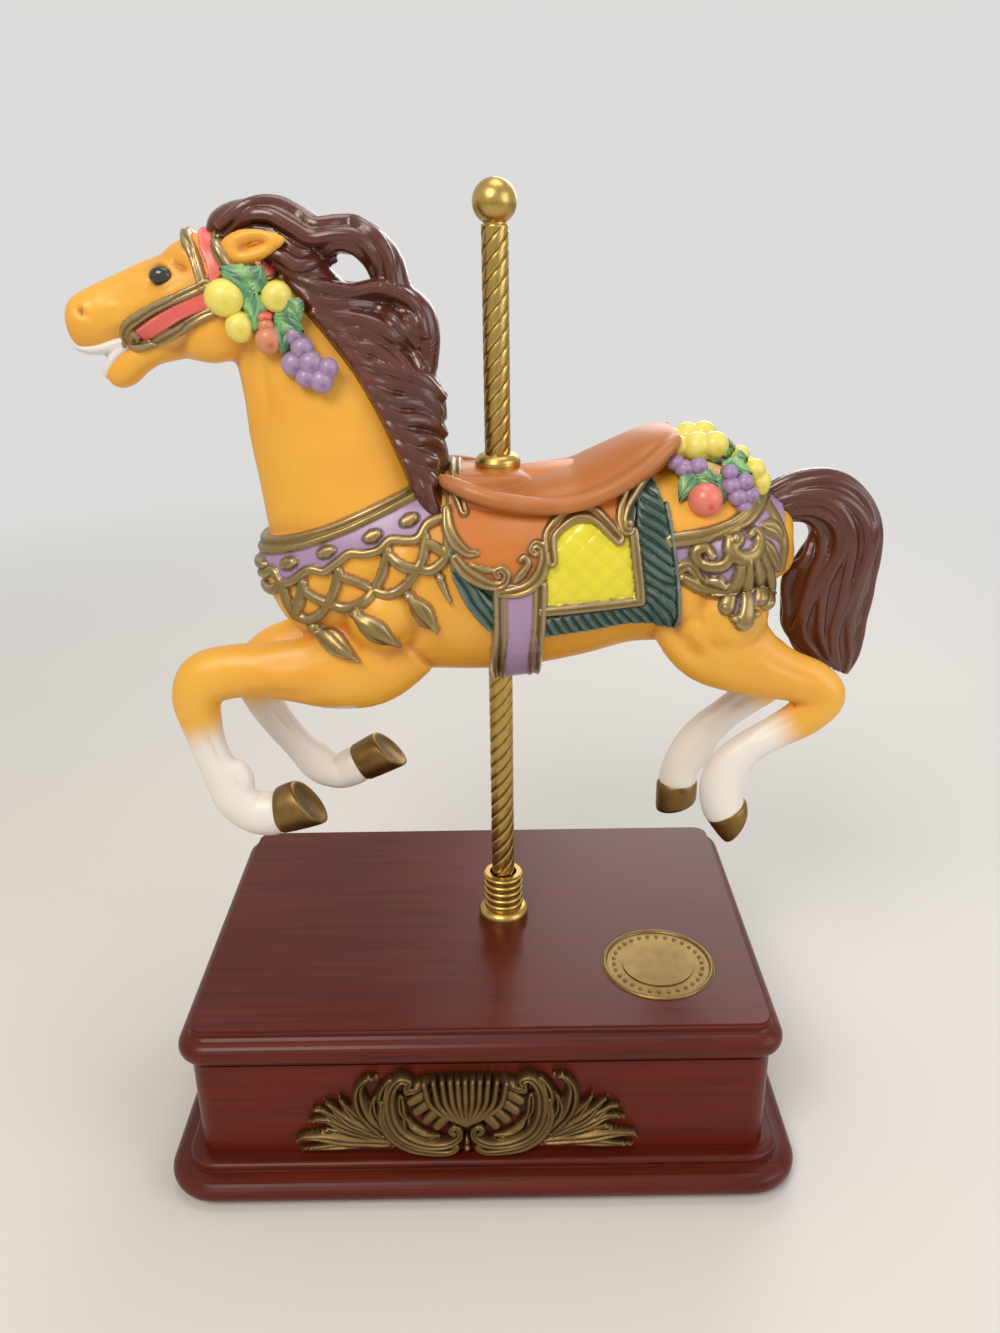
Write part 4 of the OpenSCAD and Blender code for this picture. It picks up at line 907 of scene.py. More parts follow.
ALONG_X = (0.045, 1, 1)
ALONG_Y = (1, 0.045, 1)
ALONG_Z = (1, 1, 0.05)
FRAME_CHERRY = {"light": "6A2415", "dark": "4C150B"}
PANEL_CHERRY = {"light": "6E1E0C", "dark": "521305"}
FINISHES = (
    # Airbrushed bisque: a warm matt yellow with soft orange shading, as dry and smooth as eggshell.
    Coat("airbrushed_bisque"),
    # Thick brown glaze over combed strands: painted highlights on each strand and painted near-black shade
    # between them.
    Porcelain("glazed_brown_hair", Paint.HAIR, "1E0C07", 0.22, coat=0.3, mottle=0.14, wash=0.92,
              edge="B98466", ridge_highlight=0.6, thread_mm=0.03),
    # Brushed tan paint with gilt scrolls: soft leather brown with painted shade in the creases, and dull gold
    # that catches the lamp.
    Porcelain("satin_saddle_paint", Paint.SADDLE, "7A3F16", 0.42, coat=0.06, painted=True, gilded=True),
    # Glossy green on cords, yellow on the quilt: painted highlights on each thread, and painted black shade
    # in the gaps between cords.
    Porcelain("painted_blanket_relief", Paint.FRINGE, "04120E", 0.3, coat=0.3, painted=True, gilded=True,
              wash=0.95, thread_mm=0.05, thread_highlight="377867"),
    # Lavender and gilt on the straps: chalky lilac fields with painted brown shade round every raised gold
    # line.
    Porcelain("painted_strap_relief", Paint.LAVENDER, "4A3A2A", 0.36, coat=0.15, painted=True, gilded=True),
    # Coral and gilt on the bridle: smooth pink between two thin gold edges.
    Porcelain("painted_bridle_relief", Paint.CORAL, "4A2A1A", 0.36, coat=0.15, painted=True, gilded=True),
    # Brushed fruit paints: a plain bright skin with a small soft highlight and painted shade in the dimples.
    Porcelain("lemon_paint", Paint.LEMON, "B98A1E", 0.36, coat=0.2),
    Porcelain("grape_paint", Paint.GRAPE, "453055", 0.36, coat=0.2, mottle=0.12),
    Porcelain("apple_paint", Paint.APPLE, "8E2A1E", 0.34, coat=0.25, mottle=0.14),
    Porcelain("pear_paint", Paint.PEAR, "7E3A16", 0.36, coat=0.2, mottle=0.14),
    # Two greens brushed wet on the leaves: uneven bands of light and dark.
    Porcelain("leaf_paint", Paint.LEAF, "2F5A44", 0.38, coat=0.15, mottle=0.3, painted=True),
    # A drop of black glaze: a wet eye with one sharp light.
    Porcelain("eye_glaze", Paint.EYE, "050302", 0.05, coat=0.2, mottle=0.02, speckle_mm=0.0005),
    # Bare white bisque: matt teeth with painted grey shade between them.
    Porcelain("tooth_bisque", Paint.TEETH, "A89A8E", 0.4, mottle=0.03),
    # Gold paint rubbed thin: a dull brown metal with patches of base coat.
    Metal("gilt_hoof_paint", "8A6E40", "4E3A1C", 0.42, aged=0.5),
    # Satin lacquer on solid cherry: dark red with a straight grain that runs along each board.
    Lacquer("cherry_lacquer_long", grain=ALONG_X, **FRAME_CHERRY),
    Lacquer("cherry_lacquer_short", grain=ALONG_Y, **FRAME_CHERRY),
    # The same lacquer on redder wall panels.
    Lacquer("cherry_panel_long", grain=ALONG_X, **PANEL_CHERRY),
    Lacquer("cherry_panel_short", grain=ALONG_Y, **PANEL_CHERRY),
    # Drawn brass, wiped but not polished: warm blurred lights with fine lines up the tube.
    Metal("satin_brass", "C0A05A", "70582A", 0.3, scratch=ALONG_Z, aged=0.25),
    # Struck brass: the disc's rings stand out pale from a browner field.
    Metal("struck_brass", "8A7346", "54431F", 0.4, aged=0.4, cast_mm=0.006),
    # Cast bronze with a dark patina: light only on the tops of the leaves, near black in the cuts.
    Metal("antique_bronze", "7F6742", "2A1F10", 0.48, aged=0.3, cast_mm=0.012),
    # Turned steel: a cold grey with fine lines.
    Metal("turned_steel", "B9BCC0", "7A7D80", 0.28, scratch=ALONG_Z, aged=0.15),
    # Tempered spring steel: blue-grey and smooth.
    Metal("blued_spring", "5C6068", "2E3238", 0.3, aged=0.2),
    # Die-cast zinc: a dull warm grey with a fine grain.
    Metal("cast_zinc", "B8B4AA", "84807A", 0.45, aged=0.3, cast_mm=0.012),
    # Milled brass: bright yellow and clean.
    Metal("machined_brass", "C6A24C", "8A6C2C", 0.28, aged=0.15),
    # Moulded acetal: milky white and a little waxy.
    Stock("moulded_acetal", "EBE6D8", "E0DAC8", 0.4, 1.2),
    # Moulded rubber: black with no shine.
    Stock("foot_rubber", "1F1B19", "2A2522", 0.75, 0.8),
    # Sawn softwood: pale brown streaks along the board.
    Stock("bare_board", "A8764C", "8C5E3A", 0.6, 2.0, ALONG_X),
)


# ---- finishing a piece

class Body(Enum):
    """The bodies that new pieces ride on."""

    RIDER = "rider"
    CASE = "case"


@dataclass
class Bench:
    """Where pieces are finished: dressed, scaled and put on their body."""

    nodes: dict[str, Piece]
    materials: dict[str, bpy.types.Material] = field(
        default_factory=lambda: {finish.name: finish.material() for finish in FINISHES})

    def dress(self, piece: Piece, finish: str) -> None:
        """Puts one finish on a piece or on a CAD node."""
        piece.data.materials.clear()
        piece.data.materials.append(self.materials[finish])

    def finish(self, piece: Piece, body: Body, finish: str, slot: str,
               stands_for: Sequence[str] = (), wide: int = 4, deep: float = 0.35) -> None:
        """Finishes a piece.

        Args:
            piece: The piece, in millimetres.
            body: The CAD body it rides on.
            finish: Name of its finish.
            slot: Name of a material slot; not used.
            stands_for: CAD nodes it replaces.
            wide: Reach of the hollows that take the painted shade and highlights, in points.
            deep: Depth of a hollow that counts as full, in millimetres.
        """
        keep_number(piece.data, "hollow", hollows(piece.data, wide, deep))
        piece.data.transform(Matrix.Scale(METRES, 4))
        piece.data.shade_smooth()
        self.dress(piece, finish)
        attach(piece, body.value)
        if stands_for:
            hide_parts(*stands_for)
        LOG.info("%s: %d faces on %s", piece.name, len(piece.data.polygons), body.value)


# ---- the horse

@dataclass
class Horse:
    """The cast horse: stations are x, y, z, half depth and half width."""

    torso: Rows = (
        (100.5, 0, 199, 4, 5), (98, 0, 199, 9, 10), (93, 0, 200, 14.5, 15), (85, 0, 200, 20.5, 19.5),
        (73, 0, 200, 26.5, 22), (60, 0, 199, 29, 22.6), (45, 0, 197.5, 28.5, 22.6), (28, 0, 194.5, 30, 23),
        (8, 0, 192, 31, 22.8), (-12, 0, 193, 32, 22.5), (-30, 0, 193.5, 31.5, 22), (-44, 0, 194, 27.5, 20.5),
        (-54, 0, 194, 22, 18), (-61, 0, 193.5, 15, 13.5), (-65, 0, 193, 7, 7))
    neck: Rows = (
        (-30, 0, 192, 28, 20), (-34, 0, 203, 28.5, 19), (-37, 0, 215, 27.5, 17), (-40, 0, 228, 26, 14.8),
        (-44, 0, 242, 24, 12.8), (-48.5, 0, 255, 20.5, 11.4), (-54, 0, 267, 17, 10.4), (-60, 0, 276, 14, 9.6))
    head: Rows = (
        (-55, 0, 281, 8, 6), (-61, 0, 279.5, 13, 9), (-69, 0, 277, 17.6, 10.8), (-77, 0, 275.5, 17.6, 11.2),
        (-84, 0, 275, 15.4, 10.6), (-91, 0, 275.2, 11.6, 9.2), (-98, 0, 274, 9.8, 8),
        (-105, 0, 272.4, 8.5, 7.2), (-110.6, 0, 270.3, 8.1, 7.4), (-113.2, 0, 269.6, 7.6, 7.2),
        (-115.2, 0, 269.3, 6.2, 6.3), (-116.1, 0, 269.2, 4.2, 4.8))
    jaw: Rows = (
        (-80, 0, 266, 6, 6.6), (-87, 0, 263.8, 5.2, 6.2), (-93, 0, 261.8, 4.5, 5.6),
        (-98.2, 0, 259.2, 4.8, 5.4), (-102, 0, 256.4, 5.1, 5.2), (-104.8, 0, 254.4, 4.2, 4.6),
        (-106.6, 0, 253.2, 2.4, 3.2))
    muscles: tuple[tuple[Point, Point, float, float], ...] = (
        ((-28, -12, 184), (-40, -11, 172), 14, 12), ((-20, -12, 200), (-34, -11, 190), 11, 12),
        ((76, -12, 200), (78, -12, 182), 13, 14), ((62, -11, 190), (70, -12, 178), 13, 12))
    left_fore: Rows = (
        (-24, -12, 176, 16, 8), (-34, -13.5, 168, 15.5, 9.4), (-45, -14.5, 165, 13, 9.2),
        (-56, -14.5, 165, 10.6, 8.4), (-67, -14.5, 165.2, 9, 7.6), (-77, -14.5, 165, 8.8, 7.2),
        (-85.5, -14.5, 162.5, 8.8, 7.2), (-89, -14.5, 155.5, 7.8, 7), (-88.4, -14.5, 147, 6.6, 5.8),
        (-86.8, -14.5, 138, 5.8, 5), (-84, -14.5, 129, 6.2, 5), (-80.6, -14.5, 120, 7, 5.6),
        (-75, -14.5, 114.5, 7.2, 5.8), (-69, -14.5, 114, 7.8, 6.4), (-64.6, -14.5, 115.4, 6.8, 5.6))
    right_fore: Rows = (
        (-24, 12, 176, 16, 8), (-36, 13.5, 169, 14.5, 9), (-48, 14.5, 166, 11.8, 8.6),
        (-60, 14.5, 163.5, 9.6, 8), (-70, 14.5, 160, 8.4, 7.4), (-76, 14.5, 153, 8, 7),
        (-75, 14.5, 144, 6.6, 5.8), (-70, 14.5, 134, 5.8, 5), (-63.5, 14.5, 125, 5.6, 5),
        (-57, 14.5, 117, 6.4, 5.6), (-50, 14.5, 114, 6, 5.6), (-44.5, 14.5, 116.5, 7, 6.2),
        (-40.6, 14.5, 118.4, 5.8, 5.2))
    left_hind: Rows = (
        (72, -11, 198, 14, 8), (71, -13, 186, 17.4, 9.4), (76.6, -14, 174, 16.4, 9.6),
        (88, -14.5, 165.5, 11.4, 8.6), (98, -14.8, 161.5, 8.6, 7), (107, -15, 158.5, 7.4, 6.2),
        (111.2, -15, 153.5, 6.8, 6), (105.5, -15, 147, 6.6, 5.6), (97.5, -14.8, 141.8, 5.8, 5),
        (89.5, -14.5, 136.6, 5.6, 4.9), (83.6, -14.5, 130.6, 6.8, 5.3), (80.8, -14.5, 123.6, 7.4, 5.8),
        (80.8, -14.5, 117, 7.2, 6), (82.2, -14.5, 112.4, 6.8, 6), (83.2, -14.5, 110, 5.6, 5))
    right_hind: Rows = (
        (72, 11, 198, 14, 8), (70.6, 13, 186, 17, 9.4), (76, 14, 173, 15.5, 9.4), (86, 14.5, 164, 11, 8.4),
        (95, 14.8, 158.5, 8.6, 7), (102, 15, 153.5, 7.6, 6.4), (100.5, 15, 146.5, 7, 6),
        (94, 14.8, 140.8, 6.2, 5.4), (87, 14.6, 135, 5.8, 5), (80.4, 14.5, 128.8, 6.6, 5.2),
        (75.6, 14.5, 122, 7, 5.6), (72.4, 14.5, 115.6, 6.6, 6), (71.2, 14.5, 110, 6.8, 6.2),
        (71, 14.5, 106, 6, 5.4))
    knuckles: Rows = (
        (-88, -14.5, 160, 7.6), (-80.4, -14.5, 119, 6.4), (-76, 14.5, 153, 7.2), (-56.6, 14.5, 116.6, 6),
        (110.6, -15, 156.4, 6.4), (80.4, -14.5, 125, 6), (101.6, 15, 151.6, 6.6), (75.4, 14.5, 122, 6))
    fetlocks: tuple[list[Point], ...] = (
        [(-79, -14.5, 133), (-76.6, -14.5, 127.4), (-75.8, -14.5, 122.4)],
        [(-62, 14.5, 127.5), (-56, 14.5, 122), (-52, 14.5, 119)],
        [(86.4, -14.5, 129.6), (87, -14.5, 125), (86.6, -14.5, 120.6)],
        [(81.4, 14.5, 123), (80.4, 14.5, 118.6), (77.6, 14.5, 114.6)])
    # Middle of each stocking's fade and the direction towards the hoof.
    fades: tuple[tuple[Point, Point], ...] = (
        ((-87.6, -14.5, 145), (0.25, 0, -1)), ((-74, 14.5, 144), (0.4, 0, -1)),
        ((99, -14.5, 144), (-0.85, 0, -0.5)), ((96, 14.5, 142.5), (-0.8, 0, -0.6)))
    fade: float = 12.0  # length of a stocking's fade
    leg_above: float = 10.0  # a fade's own leg ends this far above its middle
    leg_beside: float = 50.0  # and this far before and behind it
    # Dark spots of the nostrils and the eye sockets: centre, reach and amount.
    dark: tuple[tuple[Point, float, float], ...] = (((-110.4, 273.2), 0.8, 0.3), ((-86.2, 282.6), 2.5, 0.8))
    # Muscles, folds, eye sockets, nostrils and tendons: path, radius, depth and, on one side only, the side.
    strokes: tuple[tuple, ...] = (
        ([(-60, 262), (-58.6, 256), (-58.2, 249), (-57.8, 242)], 2.6, -0.7),
        ([(-55.4, 262), (-54, 252), (-52.6, 240), (-52, 226)], 4.5, 0.7),
        ([(-24, 204), (-33, 194), (-39, 182), (-43, 172)], 4.5, -1.0),
        ([(-16, 184), (-22, 176), (-30, 168)], 4.2, -1.2),
        ([(-47, 176), (-56, 171), (-68, 169.5)], 3.0, -0.8),
        ([(-50, 160), (-60, 159.6), (-72, 160)], 2.6, -0.6),
        ([(60, 186), (61.5, 179), (66, 173.5), (71, 169.6)], 2.8, -1.5),
        ([(70, 208), (66, 196), (66, 186)], 5.0, -0.7),
        ([(86, 196), (88, 184), (89, 174)], 4.0, -1.0),
        ([(80, 190), (80, 178), (84, 170)], 6.0, 0.8),
        ([(86, 173), (94, 167.4), (101, 164), (109, 160)], 2.0, -0.55),
        ([(99, 157), (104, 154), (107.6, 151.6)], 1.8, 0.5),
        ([(-86.4, 148), (-84.2, 140), (-80.4, 131)], 1.3, -0.9, -1),
        ([(-73, 147), (-68.4, 137), (-62, 128)], 1.3, -0.9, 1),
        ([(103, 149.4), (96, 145.2), (89, 140)], 1.3, -0.8, -1),
        ([(98, 147), (92, 142.6), (85, 137)], 1.3, -0.8, 1),
        ([(-87, 282.7), (-85, 282.8)], 3.2, -1.1),
        ([(-89.6, 282), (-88.6, 284.6), (-86.2, 285.7), (-83.6, 285), (-80.8, 283.2)], 0.9, 1.4),
        ([(-89.4, 281.4), (-88, 279.5), (-86, 279.5), (-83.4, 281.1), (-81, 283)], 0.9, 1.1),
        ([(-87.4, 288.4), (-83.4, 289.4), (-79, 289), (-76.6, 286.6)], 2.0, 1.1),
        ([(-82.6, 286.3), (-80, 285), (-77.4, 284.4)], 1.3, -1.3),
        ([(-88, 277.6), (-84, 278.4), (-79.6, 280.4)], 1.6, 0.4),
        ([(-82, 278.5), (-89, 276.5), (-97, 273)], 2.2, 0.6),
        ([(-90, 280), (-98, 277.4), (-105, 275.4)], 3.2, -0.6),
        ([(-104, 274.2), (-99.6, 275)], 0.9, 0.35),
        ([(-112.6, 270.4), (-109.4, 270.6), (-107.6, 268)], 1.1, 0.35),
        ([(-105.4, 268.4), (-101.6, 269.8), (-97.4, 272)], 1.0, 0.35),
        ([(-111.4, 274.9), (-109.6, 275), (-109, 273.6), (-109.6, 272.2)], 0.7, 0.7),
        ([(-110.6, 273.6), (-110.2, 272.8)], 0.8, -0.9),
        ([(-88.9, 261.8), (-84, 262.4), (-80.4, 265.4), (-79.4, 269)], 1.7, -0.9),
        ([(-72, 261), (-79, 260.4)], 4.0, 0.6),
        ([(-114.4, 264.4), (-111, 263.6), (-106, 264.6), (-101, 266.4)], 1.0, 0.5),
        ([(-64.4, 288.6), (-59.4, 290.6), (-54, 291.4)], 1.8, -3.2),
    )

    def ear(self, side: int) -> Lump:
        """Makes one ear, laid back along the poll."""
        rows = [(-68, 7, 286.4, 3, 2.6), (-64.6, 8.4, 288.6, 4.8, 3), (-60, 9.6, 290, 4.9, 2.8),
                (-55, 10.2, 291, 3.5, 2.2), (-51, 10, 291.6, 1.7, 1.3), (-49.4, 9.8, 291.8, 0.5, 0.5)]
        return loft(spline([(x, side * y, z, deep, wide) for x, y, z, deep, wide in rows], 5), 18)

    def build(self) -> Piece:
        """Casts the coat and models its surface."""
        casting = Casting(loft(spline(self.torso, 5), 40, 2.15), loft(spline(self.neck), 36, 2.05),
                          loft(spline(self.head), 34, 2.1), loft(spline(self.jaw), 22))
        for leg in (self.left_fore, self.right_fore, self.left_hind, self.right_hind):
            casting.press(loft(spline(leg)))
        for x, y, z, r in self.knuckles:
            casting.press(ball((x, y, z), (r, r * 0.9, r)))
        for path in self.fetlocks:
            casting.press(tube(path, (2.6, 3.2, 2.2)))
        for one, two, upper, lower in self.muscles:
            for side in (NEAR, FAR):
                casting.press(ball(on_side(one, side), (upper,) * 3), ball(on_side(two, side), (lower,) * 3))
        casting.press_both(lambda side: ball((-74, side * 4.4, 268), (11, 7.6, 9.8)))
        casting.press_both(self.ear)
        piece = casting.cast("horse_casting", 0.9, 7)
        mesh = piece.data
        spots, out = places(mesh), normals(mesh)
        push = sum(Stroke(*row).press(spots, out) for row in self.strokes)
        move(mesh, spots + out * push[:, None])
        self.paint(mesh)
        return piece

    def paint(self, mesh: Mesh) -> None:
        """Marks the white stockings and the dark spots."""
        spots = places(mesh)
        white = np.zeros(len(spots))
        for (x, y, z), way in self.fades:
            way = np.array(way) / np.linalg.norm(way)
            down = (spots - (x, y, z)) @ way
            mine = (np.sign(spots[:, 1]) == math.copysign(1, y)) & (spots[:, 2] < z + self.leg_above)
            mine &= np.abs(spots[:, 0] - x) < self.leg_beside
            fade = np.clip(down / self.fade + 0.5, 0, 1)
            white = np.where(mine, np.maximum(white, fade * fade * (3 - 2 * fade)), white)
        keep_number(mesh, "stocking", white)
        flat = spots[:, [0, 2]]
        dark = np.zeros(len(spots))
        for centre, reach, amount in self.dark:
            far = np.linalg.norm(flat - centre, axis=1)
            dark = np.maximum(dark, amount * np.clip(1.6 - far / reach, 0, 1))
        keep_number(mesh, "dark", dark * (np.abs(spots[:, 1]) > 3))


@dataclass
class Hoof:
    """A hoof between its coronet and its sole, in one leg's plane."""

    y: float
    top: Point
    sole: Point
    tilt: Point

    def build(self) -> Lump:
        """Lofts the wall, then dishes the sole."""
        bm = bmesh.new()
        rings = []
        for share, shrink in ((0.0, 0.9), (0.12, 1.0), (0.35, 1.0), (0.65, 1.0), (0.9, 1.0), (1.0, 0.97)):
            turn = math.radians(self.tilt[0] + (self.tilt[1] - self.tilt[0]) * share)
            x = self.top[0] + (self.sole[0] - self.top[0]) * share
            z = self.top[1] + (self.sole[1] - self.top[1]) * share
            wide = self.top[2] + (self.sole[2] - self.top[2]) * share
            deep = self.top[2] * 0.86 + (self.sole[3] - self.top[2] * 0.86) * share
            place = Matrix.Translation((x, self.y, z)) @ Matrix.Rotation(-turn, 4, "Y") @ Matrix.Diagonal(
                (wide * shrink, deep * shrink, 1, 1))
            rings.append(bmesh.ops.create_circle(bm, cap_ends=False, radius=1, segments=40,
                                                 matrix=place)["verts"])
        sole = join_rings(bm, rings)
        for thickness, depth in ((1.0, 0.0), (0.5, -0.5)):
            bmesh.ops.inset_region(bm, faces=sole, thickness=thickness, depth=depth)
        return bm


TEETH = [(-115, 0, 263.6, 1.4, 3.6), (-112, 0, 262.8, 2, 4.8), (-107, 0, 263, 2.3, 5),
         (-102, 0, 264.2, 2.6, 5), (-98, 0, 265, 2.2, 4.6)]
LIP = [(-99.4, 0, 263.6, 2, 4.4), (-102.6, 0, 261.6, 2.1, 4.8), (-105.4, 0, 258.6, 1.9, 4.5),
       (-107, 0, 255.8, 1.5, 3.6), (-107.2, 0, 253.8, 0.8, 2.2)]
# Each hoof: side, coronet (x, z, half width), sole (x, z, half width, half depth) and tilts in degrees.
HOOVES = [Hoof(-14.5, (-67, 114.6, 7.8), (-55.9, 118, 8.9, 7.7), (-84, -52)),
          Hoof(14.5, (-43, 117.2, 7.0), (-31.6, 123, 8.1, 7.1), (-62, -44)),
          Hoof(-14.5, (82.2, 113.6, 7.2), (86, 107, 6.8, 6.5), (204, 237)),
          Hoof(14.5, (71, 109, 7.2), (71, 99.4, 7.5, 6.9), (180, 196))]


# ---- hair

@dataclass
class Hair:
    """Hair: broad cores under thick strands, which are drawn in side view and laid on both sides."""

    name: str
    cores: list[list[Point]]
    strands: list[list[Point]]
    thick: float
    voxel: float = 0.46
    thread: float = 0.95
    outside: float = 60.0  # rays start this far from the middle, well clear of the horse
    bare: float = 2.0  # depth of a strand that no core lies under
    deepest: float = 12.0  # threads are counted up to this distance from a strand's middle

    def strand(self, path: list[Point], side: int, body: BVHTree) -> Lump:
        """Lays one tapered strand on the cores' skin.

        Args:
            path: Its places in side view.
            side: -1 for the near side and 1 for the far side.
            body: The cores' skin.

        Returns:
            The strand.
        """
        line = spline(path)
        depths = []
        for x, z in line:
            hit, _, _, _ = body.ray_cast(Vector((x, side * self.outside, z)), Vector((0, -side, 0)))
            depths.append(hit.y * side if hit else math.nan)
        deep = np.array(depths)
        known = np.flatnonzero(~np.isnan(deep))
        deep = (np.interp(np.arange(len(deep)), known, deep[known]) if len(known)
                else np.full(len(deep), self.bare))
        for _ in range(4):
            deep = np.convolve(np.pad(deep, 1, "edge"), (0.25, 0.5, 0.25), "valid")
        run = np.linspace(0, 1, len(line))
        size = self.thick * (0.34 + 0.66 * np.sin(math.pi * np.clip(run * 0.9 + 0.06, 0, 1)) ** 0.6)
        rows = np.column_stack([line[:, 0], side * (deep - 0.15 * size), line[:, 1], size, size])
        return loft(rows, 12)

    def build(self) -> Piece:
        """Casts the cores, lays the strands on them and casts it all again."""
        piece = Casting(*(loft(spline(core, 7)) for core in self.cores)).cast(self.name, 0.8, 3)
        skin = bmesh.new()
        skin.from_mesh(piece.data)
        body = BVHTree.FromBMesh(skin)
        casting = Casting()
        for path in self.strands:
            casting.press_both(lambda side, path=path: self.strand(path, side, body))
        casting.press(skin)
        bpy.data.objects.remove(piece)
        piece = casting.cast(self.name, self.voxel, 2, 0.4)
        flat = places(piece.data)[:, [0, 2]]
        away = np.full(len(flat), self.deepest)
        for path in self.strands:
            line = spline(path, 4)
            near = within(flat, line.min(0) - 5, line.max(0) + 5)
            away[near] = np.minimum(away[near], nearest(flat[near], line)[0])
        keep_number(piece.data, "threads", away / self.thread)
        return piece


MANE = Hair("mane_hair", [
    [(-72.4, 0, 292.8, 1.8, 4), (-69.5, -0.6, 296.6, 3.2, 5.4), (-63, -1, 298.6, 3.8, 6.2),
     (-54, -1.5, 297.8, 4, 6.4), (-45, -1.5, 293, 4, 6.4), (-37, -1.5, 292, 4.2, 6),
     (-28, -1.5, 290.6, 4.6, 5.6), (-22.5, -1, 285.5, 4.2, 5), (-19.8, -1, 277, 3.8, 4.6),
     (-18, -1, 270, 2.8, 3.8)],
    [(-64, -1, 291, 4.2, 5.6), (-54, -2, 288, 5.2, 6.8), (-44, -2, 281.5, 5.2, 7), (-36, -2, 276.6, 3.8, 6),
     (-27, -1.5, 277.4, 3, 5), (-21, -1, 279, 2.8, 4.6)],
    [(-50, -2, 281, 4.6, 6.6), (-42, -2, 275, 5, 7), (-33, -2, 269.4, 4.8, 7), (-23, -2, 267, 4.8, 6.6),
     (-16, -1.5, 268, 4.6, 6), (-12.6, -1, 262.6, 3.8, 5), (-12.6, -1, 255, 3.2, 4.6)],
    [(-25, -1, 276, 2.4, 4), (-17.4, -1, 276, 2.6, 4.2), (-12.4, -1, 272, 2.4, 4.2), (-10.6, -1, 265, 2.3, 4),
     (-11.4, -1, 256, 2.1, 3.6)],
    [(-40, -2, 270, 4.6, 7), (-32, -2.4, 263, 5.6, 7.4), (-24, -2.5, 257, 6, 7.4), (-17, -2.5, 253, 6, 7),
     (-12.4, -2, 247.6, 4.9, 6.2), (-10.4, -1.5, 239.6, 3.6, 5)],
    [(-31, -2.5, 258, 4.6, 7.6), (-23, -3, 249.6, 5.4, 7.6), (-16.8, -3, 242, 5.6, 7.4),
     (-12.4, -2.5, 233, 5, 6.4), (-10, -2, 225, 3.6, 5.2), (-9.4, -2, 220, 2.2, 3.8)],
    [(-23, -4, 247, 4.2, 7.8), (-17.6, -5, 238, 4.4, 8.2), (-13.6, -7, 229, 4.2, 8.2),
     (-12, -9.6, 221, 3.6, 7.2), (-10.4, -12.6, 214.8, 2.5, 5.2), (-9, -15.4, 211, 1.1, 2.8)],
    [(-47, -4, 276, 2.8, 6.6), (-38, -4.6, 266, 3.4, 7), (-30, -5, 255, 3.7, 7.4), (-23.6, -6, 243, 3.7, 7.6),
     (-18.4, -8, 231, 3.5, 7.6), (-14.8, -11, 220.5, 2.8, 6.2)]],
    [[(-69.5, 295), (-61, 300.4), (-53.7, 301.4), (-47.4, 298.6), (-42.5, 295.4), (-36.7, 295.8),
      (-30.9, 295.6), (-25.9, 292.4), (-22.6, 287.4), (-21.7, 282), (-21, 277)],
     [(-68, 292.4), (-61.1, 297.4), (-54.6, 298), (-48.8, 295), (-43.4, 292), (-36.8, 292.6), (-31.4, 292.4),
      (-27.6, 289.4), (-25, 284.6), (-24, 279.6)],
     [(-63.4, 291.6), (-57.4, 294.4), (-51.6, 291.4), (-46.6, 288), (-41, 288.4), (-35.8, 290.4),
      (-31.2, 289), (-28, 285), (-26.6, 281)],
     [(-58, 289.6), (-52, 287.4), (-47.3, 284.6), (-42, 285.6), (-37, 286.6)],
     [(-54.4, 285.6), (-47.5, 281.4), (-43.2, 279.7), (-38.8, 278.6), (-32.9, 277.6), (-26.9, 278.6),
      (-21.8, 277.8), (-16.6, 275), (-13.7, 270.6), (-12.4, 264.6)],
     [(-51.1, 281.8), (-46.2, 277.6), (-41.1, 275), (-35.2, 274.2), (-28.5, 273.4), (-23.4, 271.4),
      (-19.8, 268.4), (-14.9, 262)],
     [(-47, 278), (-43, 274), (-38.6, 271.4), (-32.3, 270.4), (-26.4, 268.6), (-21.2, 265), (-16.8, 261),
      (-13.4, 255.6)],
     [(-44, 273), (-40, 269.4), (-35.4, 267), (-30.2, 266.6), (-25, 264.6), (-20, 259.6), (-16.1, 254.9)],
     [(-40, 267.6), (-36, 264.6), (-31.4, 262.6), (-27.3, 262), (-22.6, 258.8), (-18.6, 254.4)],
     [(-36.6, 263.8), (-32.6, 259.6), (-28, 257.6), (-23.4, 256.6), (-19, 255), (-14, 253.4), (-10.4, 250),
      (-7.6, 246.8)],
     [(-33, 258.6), (-29, 254.4), (-24.4, 252.6), (-19.6, 251.6), (-14.6, 249.8), (-10.8, 246.4),
      (-8.6, 242.6)],
     [(-30, 253), (-26.6, 249.8), (-22, 247.4), (-16.2, 246.6), (-11.9, 244.2), (-9.2, 240.4)],
     [(-27, 247.6), (-24.4, 245), (-20, 242.4), (-14.4, 241.6), (-10, 239), (-7.6, 235.6)],
     [(-24.6, 242.6), (-21.7, 239.6), (-17.4, 237), (-12.4, 236), (-8.6, 233.2)],
     [(-22, 237), (-19, 234), (-14.6, 231.4), (-10, 229.8)],
     [(-19.6, 231.6), (-16.6, 228.6), (-13, 226), (-10, 224)],
     [(-17.8, 229.4), (-15.6, 224), (-13.6, 219.2), (-10.6, 214)],
     [(-13.4, 226.6), (-12.6, 221.6), (-11.4, 217.6), (-9.6, 213.6)]],
    thick=2.35)
TAIL_INSIDE = [(92, 209), (95.1, 207.6), (98.6, 207.8), (102.6, 207.6), (105.7, 205.6), (106.9, 202.8),
               (106.6, 200), (105, 195.5), (101.9, 191.7), (99.9, 188.2), (99, 184), (98.8, 179),
               (98.6, 173.4), (103.6, 167), (114, 161)]
TAIL_OUTSIDE = [(88.6, 216), (94.6, 219.4), (100.6, 221.8), (108.9, 222.8), (116, 221.2), (122, 217.2),
                (126.2, 211.6), (128.6, 204.6), (129, 196.5), (128.2, 189.4), (127, 181.6), (125.6, 175),
                (125.4, 168.4), (125, 161.6), (122.6, 155.4)]


